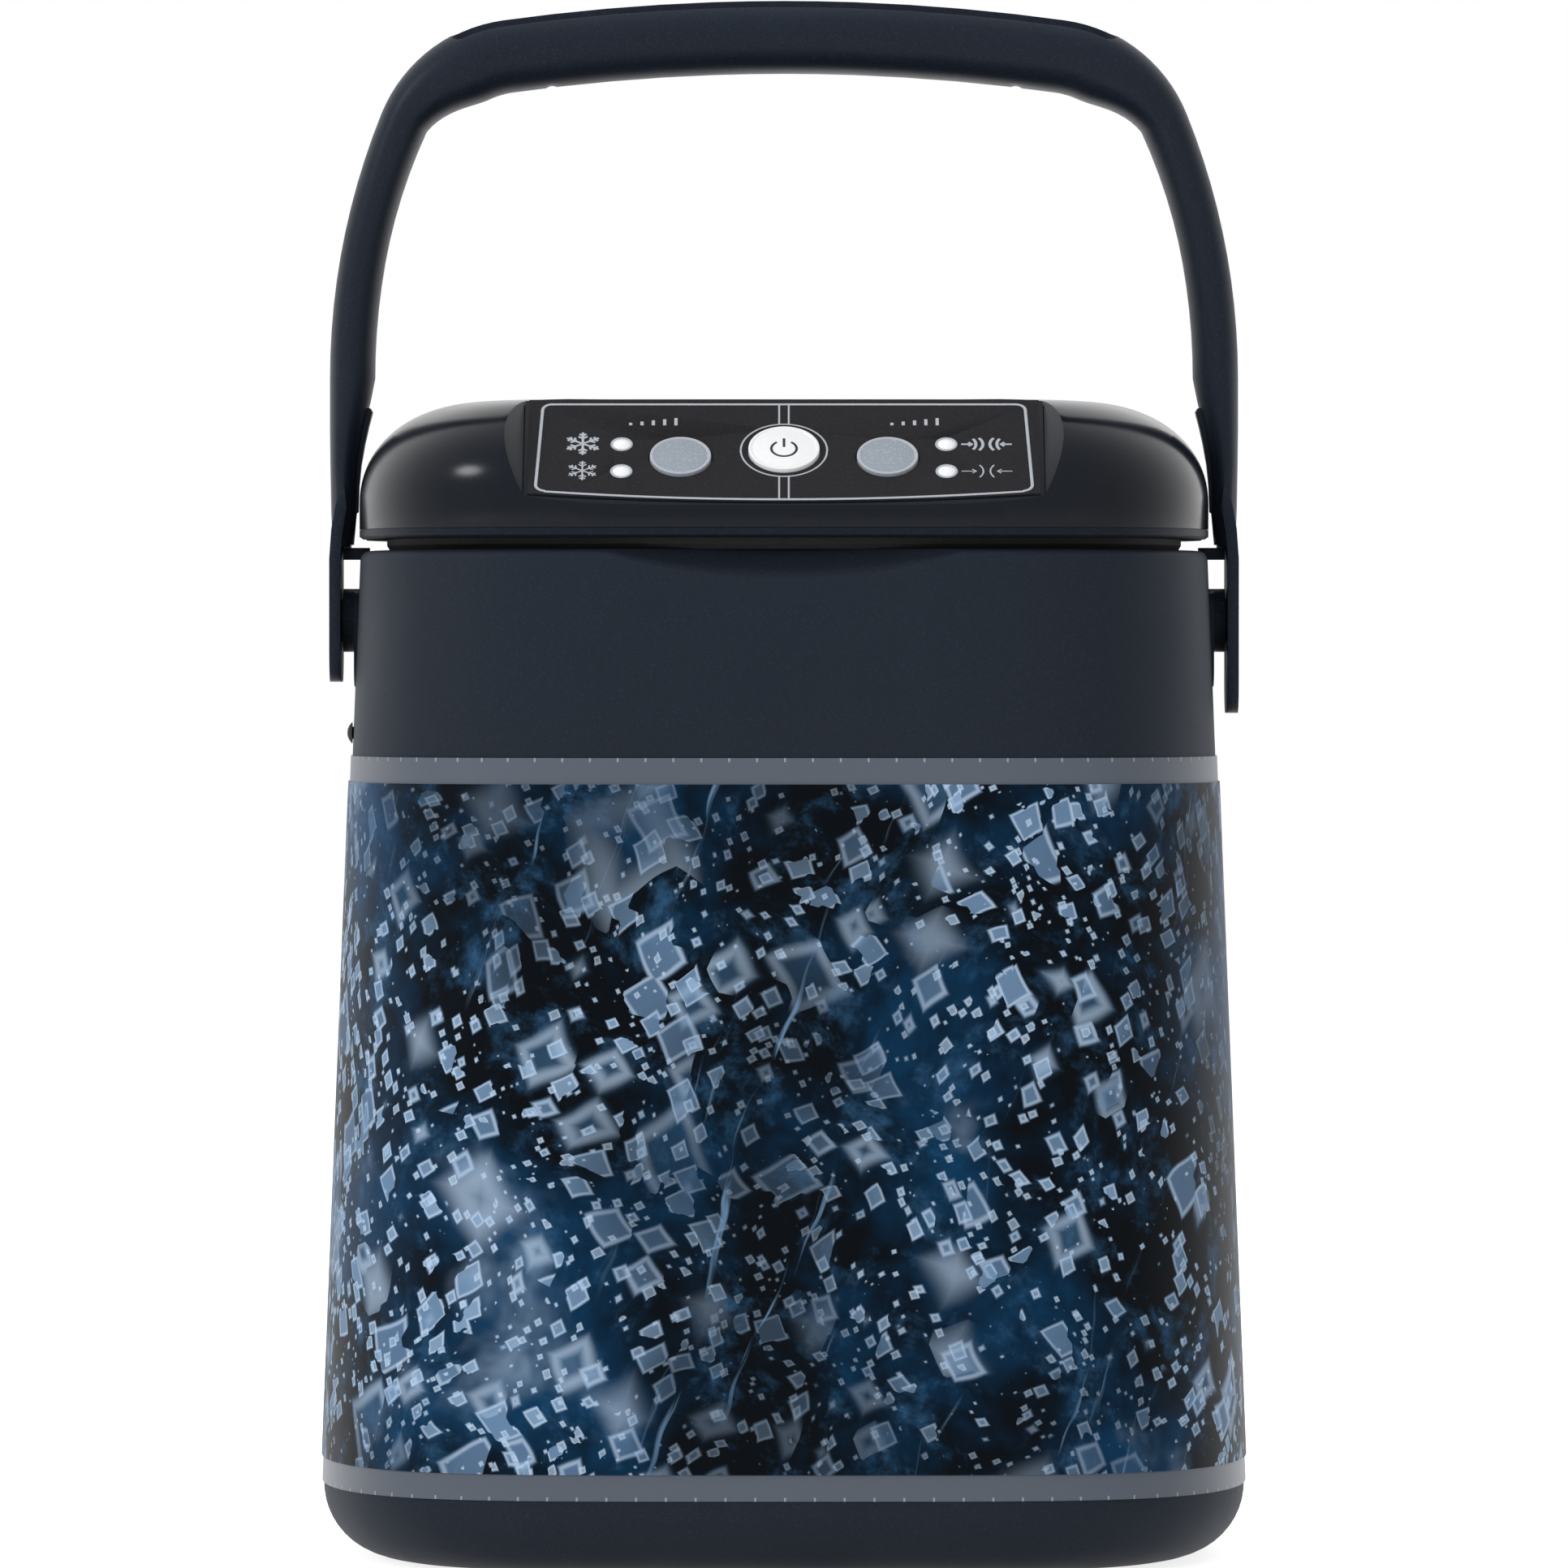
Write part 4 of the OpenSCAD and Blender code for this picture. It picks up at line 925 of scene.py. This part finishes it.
def make_handle():
    bar = make_bar()
    cut(bar, make_recess_cutter())
    nick_z = arch_point(7)[1] - GRIP_T - 1
    for side, tail in ((1, TAIL_RIGHT), (-1, TAIL_LEFT)):
        cut(bar, make_hub_plate(side, tail), "UNION")
        cut(bar, make_lock_block(side), "UNION")
        cut(bar, make_arm_rib(side), "UNION")
        cut(bar, rod(BORE_R, 20, (side * 100, 0, PIVOT_Z), "X"))
        cut(bar, rod(COUNTERBORE_R, 4.8, (side * 107.6, 0, PIVOT_Z), "X"))
        cut(bar, rod(NICK_R, 40, (side * NICK_X, 0, nick_z), "Y", 32))
    soften(bar, 0.35, 38, 2)
    smooth(bar, 38)
    finish_piece(bar, "bail_handle", "handle", MATERIALS["handle"], "handle_plastic", "handle")


# ---- printed marks, button rims and rings of painted lamp shade on the control panel ----

def ink_line(points, width, closed=False):
    """A flat printed line on the panel's plane, through points of x and v in millimetres."""
    curve = bpy.data.curves.new("ink", "CURVE")
    curve.dimensions = "3D"
    curve.bevel_depth = width / 2 * M
    curve.bevel_resolution = 2
    curve.use_fill_caps = True
    line = curve.splines.new("POLY")
    line.points.add(len(points) - 1)
    line.use_cyclic_u = closed
    for knot, (x, v) in zip(line.points, points):
        knot.co = (x * M, v * M, 0, 1)
    obj = bpy.data.objects.new("ink", curve)
    bpy.context.scene.collection.objects.link(obj)
    pick(obj)
    bpy.ops.object.convert(target="MESH")
    obj = bpy.context.object
    obj.scale = (1, 1, 2 * INK_HEIGHT / width)
    settle(obj)
    return obj


def join(objects):
    clear_selection()
    for obj in objects:
        obj.select_set(True)
    bpy.context.view_layer.objects.active = objects[0]
    bpy.ops.object.join()
    return bpy.context.object


def snowflake(x, v, size, width):
    def spoke(turn, r, off=0.0):
        return x + r * cosine(turn) - off * sine(turn), v + r * sine(turn) + off * cosine(turn)

    parts = []
    for k in range(6):
        turn = 90 + 60 * k
        parts.append(ink_line([(x, v), spoke(turn, size / 2)], width))
        for r, reach in ((0.23 * size, 0.12 * size), (0.36 * size, 0.09 * size)):
            for side in (-1, 1):
                twig = [spoke(turn, r), spoke(turn, r + reach * 0.8, side * reach)]
                parts.append(ink_line(twig, width))
    return parts


def arrow(x, v, length, facing, width):
    tip = x + facing * length
    head = 0.9
    foot = tip - facing * head
    return [
        ink_line([(x, v), (tip, v)], width),
        ink_line([(foot, v + head * 0.8), (tip, v), (foot, v - head * 0.8)], width)]


def make_panel_print():
    half_top, half_low = 55.5, 56.7
    top, corner_v, middle_v = 17.4, -15.4, -18.6
    r = 2.2
    bow_r = (half_low ** 2 + (corner_v - middle_v) ** 2) / (2 * (corner_v - middle_v))
    low_edge = []
    for k in range(25):
        x = -half_low + r + (2 * half_low - 2 * r) * k / 24
        low_edge.append((x, middle_v + bow_r - math.sqrt(bow_r ** 2 - x ** 2)))
    frame_path = (
        arc(-half_low + r, corner_v + r, r, 180, 262, 6) + low_edge
        + arc(half_low - r, corner_v + r, r, 278, 360, 6)
        + arc(half_top - r, top - r, r, 0, 90, 6) + arc(-half_top + r, top - r, r, 90, 180, 6))
    marks = [ink_line(frame_path, 0.75, closed=True)]
    marks.append(ink_line(arc(0, POWER_V, 9.9, 0, 350, 72) + [(9.9, POWER_V)], 0.45))
    for x in (-1.1, 1.1):
        marks.append(ink_line([(x, POWER_V + 9.9), (x, top)], 0.45))
        marks.append(ink_line([(x, POWER_V - 9.9), (x, middle_v)], 0.45))
    marks += snowflake(-46.1, 2.4, 8.4, 0.62)
    marks += snowflake(-46.1, -7.8, 7.2, 0.42)
    for v, width in zip(LAMP_V, (0.75, 0.4)):
        strong = width > 0.5
        bows = ((3.0, 42), (4.6, 36)) if strong else ((3.0, 42),)
        for side in (1, -1):
            facing = 0 if side > 0 else 180
            for away, half in bows:
                bow = arc(46.4 - side * (1.2 + away), v, 3.4, facing - half, facing + half, 12)
                marks.append(ink_line(bow, width))
        marks += arrow(40.6, v, 2.6 if strong else 3.4, 1, width * 0.8)
        marks += arrow(52.2, v, 2.6 if strong else 3.4, -1, width * 0.8)
    for side in (-1, 1):
        for k in range(5):
            x = side * 30.0 + (k - 2) * 2.6
            tall = 0.9 + 0.45 * k
            marks.append(ink_line([(x, 9.4), (x, 9.4 + tall)], 0.8))
    sheet = join(marks)
    place(sheet, PANEL_PLACE @ Matrix.Translation((0, 0, INK_RISE * M)))
    finish_piece(sheet, "panel_marks", "lid", MATERIALS["ink"], "grey_cap")


def make_button_marks():
    symbol = join([
        ink_line(arc(0, POWER_V - 0.2, 2.9, 125, 415, 40), 0.62),
        ink_line([(0, POWER_V + 0.4), (0, POWER_V + 3.6)], 0.62)])
    place(symbol, PANEL_PLACE @ Matrix.Translation((0, 0, 1.12 * M)))
    finish_piece(symbol, "power_symbol", "power_button", MATERIALS["dark_ink"], "switch_black")
    rims = (("power_button", 0, POWER_V, POWER_R, 1.1, "white", "white_cap"),
            ("cold_button", -MODE_X, MODE_V, MODE_R, 1.0, "ink", "grey_cap"),
            ("compression_button", MODE_X, MODE_V, MODE_R, 1.0, "ink", "grey_cap"))
    for body, x, v, radius, rise, finish, slot in rims:
        rim = ring_bead(radius - 0.45, 0.4, (x, v, 0), 0.45)
        place(rim, PANEL_PLACE @ Matrix.Translation((0, 0, rise * M)))
        finish_piece(rim, body + "_rim", body, MATERIALS[finish], slot)


def make_lamp_shade_rings():
    # Pale grey rings round the white lamp lenses: painted shade standing in for the darker edge of each lens
    # dome.
    rims = join([
        ring_bead(LAMP_R + 0.22, 0.3, (side * LAMP_X, v, 0.42), 0.6, 48)
        for side in (-1, 1) for v in LAMP_V])
    place(rims, PANEL_PLACE)
    finish_piece(rims, "lamp_shade_rings", "lid", MATERIALS["ink"], "grey_cap")


make_tub()
make_label()
make_lid_cover()
make_handle()
make_panel_print()
make_button_marks()
make_lamp_shade_rings()

SKINS = (
    ("foam_core", "tub", "foam", "foam", 30, 0), ("liner", "tub", "liner", "liner_plastic", 40, 0),
    ("fill_plug", "tub", "seal", "seal_rubber", 40, 0),
    ("hinge_mount_left", "tub", "mount", "mount_plastic", 30, 0.25),
    ("hinge_mount_right", "tub", "mount", "mount_plastic", 30, 0.25),
    ("hinge_screws", "tub", "screw", "screw_steel", 30, 0.2),
    ("hinge_caps", "tub", "handle", "handle_plastic", 30, 0.12),
    ("lid_tray", "lid", "tray", "tray_plastic", 30, 0),
    ("lid_gasket", "lid", "seal", "seal_rubber", 30, 0),
    ("lid_foam", "lid", "foam", "foam", 30, 0.8), ("lid_screws", "lid", "screw", "screw_steel", 30, 0.2),
    ("panel_overlay", "lid", "overlay", "overlay_film", 30, 0),
    ("power_button", "power_button", "white", "white_cap", 30, 0.3),
    ("cold_button", "cold_button", "grey", "grey_cap", 30, 0.3),
    ("compression_button", "compression_button", "grey", "grey_cap", 30, 0.3),
    ("lamp_lenses", "lid", "lamp", "lamp_lens", 50, 0),
    ("control_board", "lid", "board", "board_green", 30, 0.15),
    ("tact_switches", "lid", "switch", "switch_black", 30, 0.15),
    ("pump_body", "lid", "pump", "pump_plastic", 30, 0.5),
    ("pump_cover", "lid", "pump", "pump_plastic", 30, 0.4),
    ("pump_motor", "lid", "can", "motor_can", 30, 0.8),
    ("pump_impeller", "pump_rotor", "rotor", "rotor_plastic", 30, 0.1),
    ("intake_tube", "lid", "hose", "hose_clear", 30, 0.3),
    ("intake_strainer", "lid", "mount", "mount_plastic", 30, 0.25),
    ("return_spout", "lid", "hose", "hose_clear", 30, 0.3),
    ("water_out_tube", "lid", "hose", "hose_clear", 60, 0),
    ("water_back_tube", "lid", "hose", "hose_clear", 60, 0),
    ("air_pump_body", "lid", "pump", "pump_plastic", 30, 0.6),
    ("air_pump_head", "lid", "pump", "pump_plastic", 30, 0.5),
    ("air_motor", "lid", "can", "motor_can", 30, 0.6),
    ("air_crank", "air_rotor", "screw", "crank_steel", 30, 0.15),
    ("air_valve", "lid", "pump", "pump_plastic", 30, 0.5),
    ("air_tube", "lid", "hose", "hose_clear", 60, 0),
    ("hose_socket", "lid", "mount", "mount_plastic", 30, 0.4),
    ("port_sleeves", "lid", "rotor", "rotor_plastic", 30, 0.2),
    ("power_jack", "lid", "switch", "switch_black", 30, 0.3),
    ("jack_nut", "lid", "screw", "screw_steel", 30, 0.2))

for node, body, finish, slot, angle, edge in SKINS:
    skin(node, body, MATERIALS[finish], slot, angle, edge)


# ---- studio ----

def backdrop_rays(tree):
    """1 for camera, glossy and transmission rays, which see the backdrop as plain white."""
    rays = tree.nodes.new("ShaderNodeLightPath")
    bright = maths(tree, "MAXIMUM", rays.outputs["Is Camera Ray"], rays.outputs["Is Glossy Ray"])
    return maths(tree, "MAXIMUM", bright, rays.outputs["Is Transmission Ray"])


def make_floor():
    clear_selection()
    bpy.ops.mesh.primitive_plane_add(size=12, location=(0, 0, -0.0005))
    floor = bpy.context.object
    floor.name = "studio_floor"
    material, tree, shader = new_material("pale_floor")
    shader.inputs["Base Color"].default_value = (0.8, 0.8, 0.8, 1)
    shader.inputs["Roughness"].default_value = 0.9
    glow = tree.nodes.new("ShaderNodeEmission")
    glow.inputs["Strength"].default_value = 0.8
    both = tree.nodes.new("ShaderNodeAddShader")
    seen = backdrop_rays(tree)
    choice = tree.nodes.new("ShaderNodeMixShader")
    out = tree.nodes["Material Output"]
    tree.links.new(shader.outputs[0], both.inputs[0])
    tree.links.new(glow.outputs[0], both.inputs[1])
    tree.links.new(seen, choice.inputs[0])
    tree.links.new(shader.outputs[0], choice.inputs[1])
    tree.links.new(both.outputs[0], choice.inputs[2])
    tree.links.new(choice.outputs[0], out.inputs["Surface"])
    floor.data.materials.append(material)


def make_world():
    """White to the eye, to gloss and through glass, and a dimmer fill for the matt surfaces."""
    world = bpy.data.worlds.new("studio")
    bpy.context.scene.world = world
    world.use_nodes = True
    tree = world.node_tree
    back = tree.nodes["Background"]
    seen = backdrop_rays(tree)
    tree.links.new(maths(tree, "MAXIMUM", seen, 0.30), back.inputs["Strength"])
    back.inputs["Color"].default_value = (1, 1, 1, 1)


def lamp(name, place_at, aim, size, watts, in_gloss=True, in_matte=True):
    clear_selection()
    bpy.ops.object.light_add(type="AREA", location=place_at)
    light = bpy.context.object
    light.name = name
    light.data.shape = "ELLIPSE"
    light.data.size, light.data.size_y = size
    light.data.energy = watts
    light.rotation_euler = (Vector(aim) - Vector(place_at)).to_track_quat("-Z", "Y").to_euler()
    light.visible_camera = False
    light.visible_glossy = in_gloss
    light.visible_diffuse = in_matte


def make_lights():
    middle = (0, 0, 0.19)
    lamp("key_left", (-1.9, -1.3, 0.8), middle, (0.8, 1.4), 22, in_gloss=False)
    lamp("fill_right", (1.7, -1.6, 0.6), middle, (0.5, 1.2), 5, in_gloss=False)
    lamp("top", (0, -0.2, 1.7), middle, (1.2, 0.9), 12, in_gloss=False)
    lamp("front", (-0.2, -2.6, 1.2), middle, (1.4, 0.8), 12, in_gloss=False)
    lamp("back", (0.9, 2.1, 1.1), middle, (1.2, 1.2), 16, in_gloss=False)
    lamp("lid_spark", (-1.75, -0.63, 1.45), middle, (0.6, 0.4), 14, in_matte=False)


def make_camera():
    eye = Vector((0, -3.0, 0.2108))
    aim = Vector((0, 0, 0.1792))
    clear_selection()
    bpy.ops.object.camera_add(location=eye)
    camera = bpy.context.object
    camera.data.sensor_fit = "HORIZONTAL"
    camera.data.angle = 2 * math.atan(0.1840 / (aim - eye).length)
    camera.rotation_euler = (aim - eye).to_track_quat("-Z", "Y").to_euler()
    bpy.context.scene.camera = camera


make_floor()
make_world()
make_lights()
make_camera()
bpy.context.scene.view_settings.view_transform = "Standard"
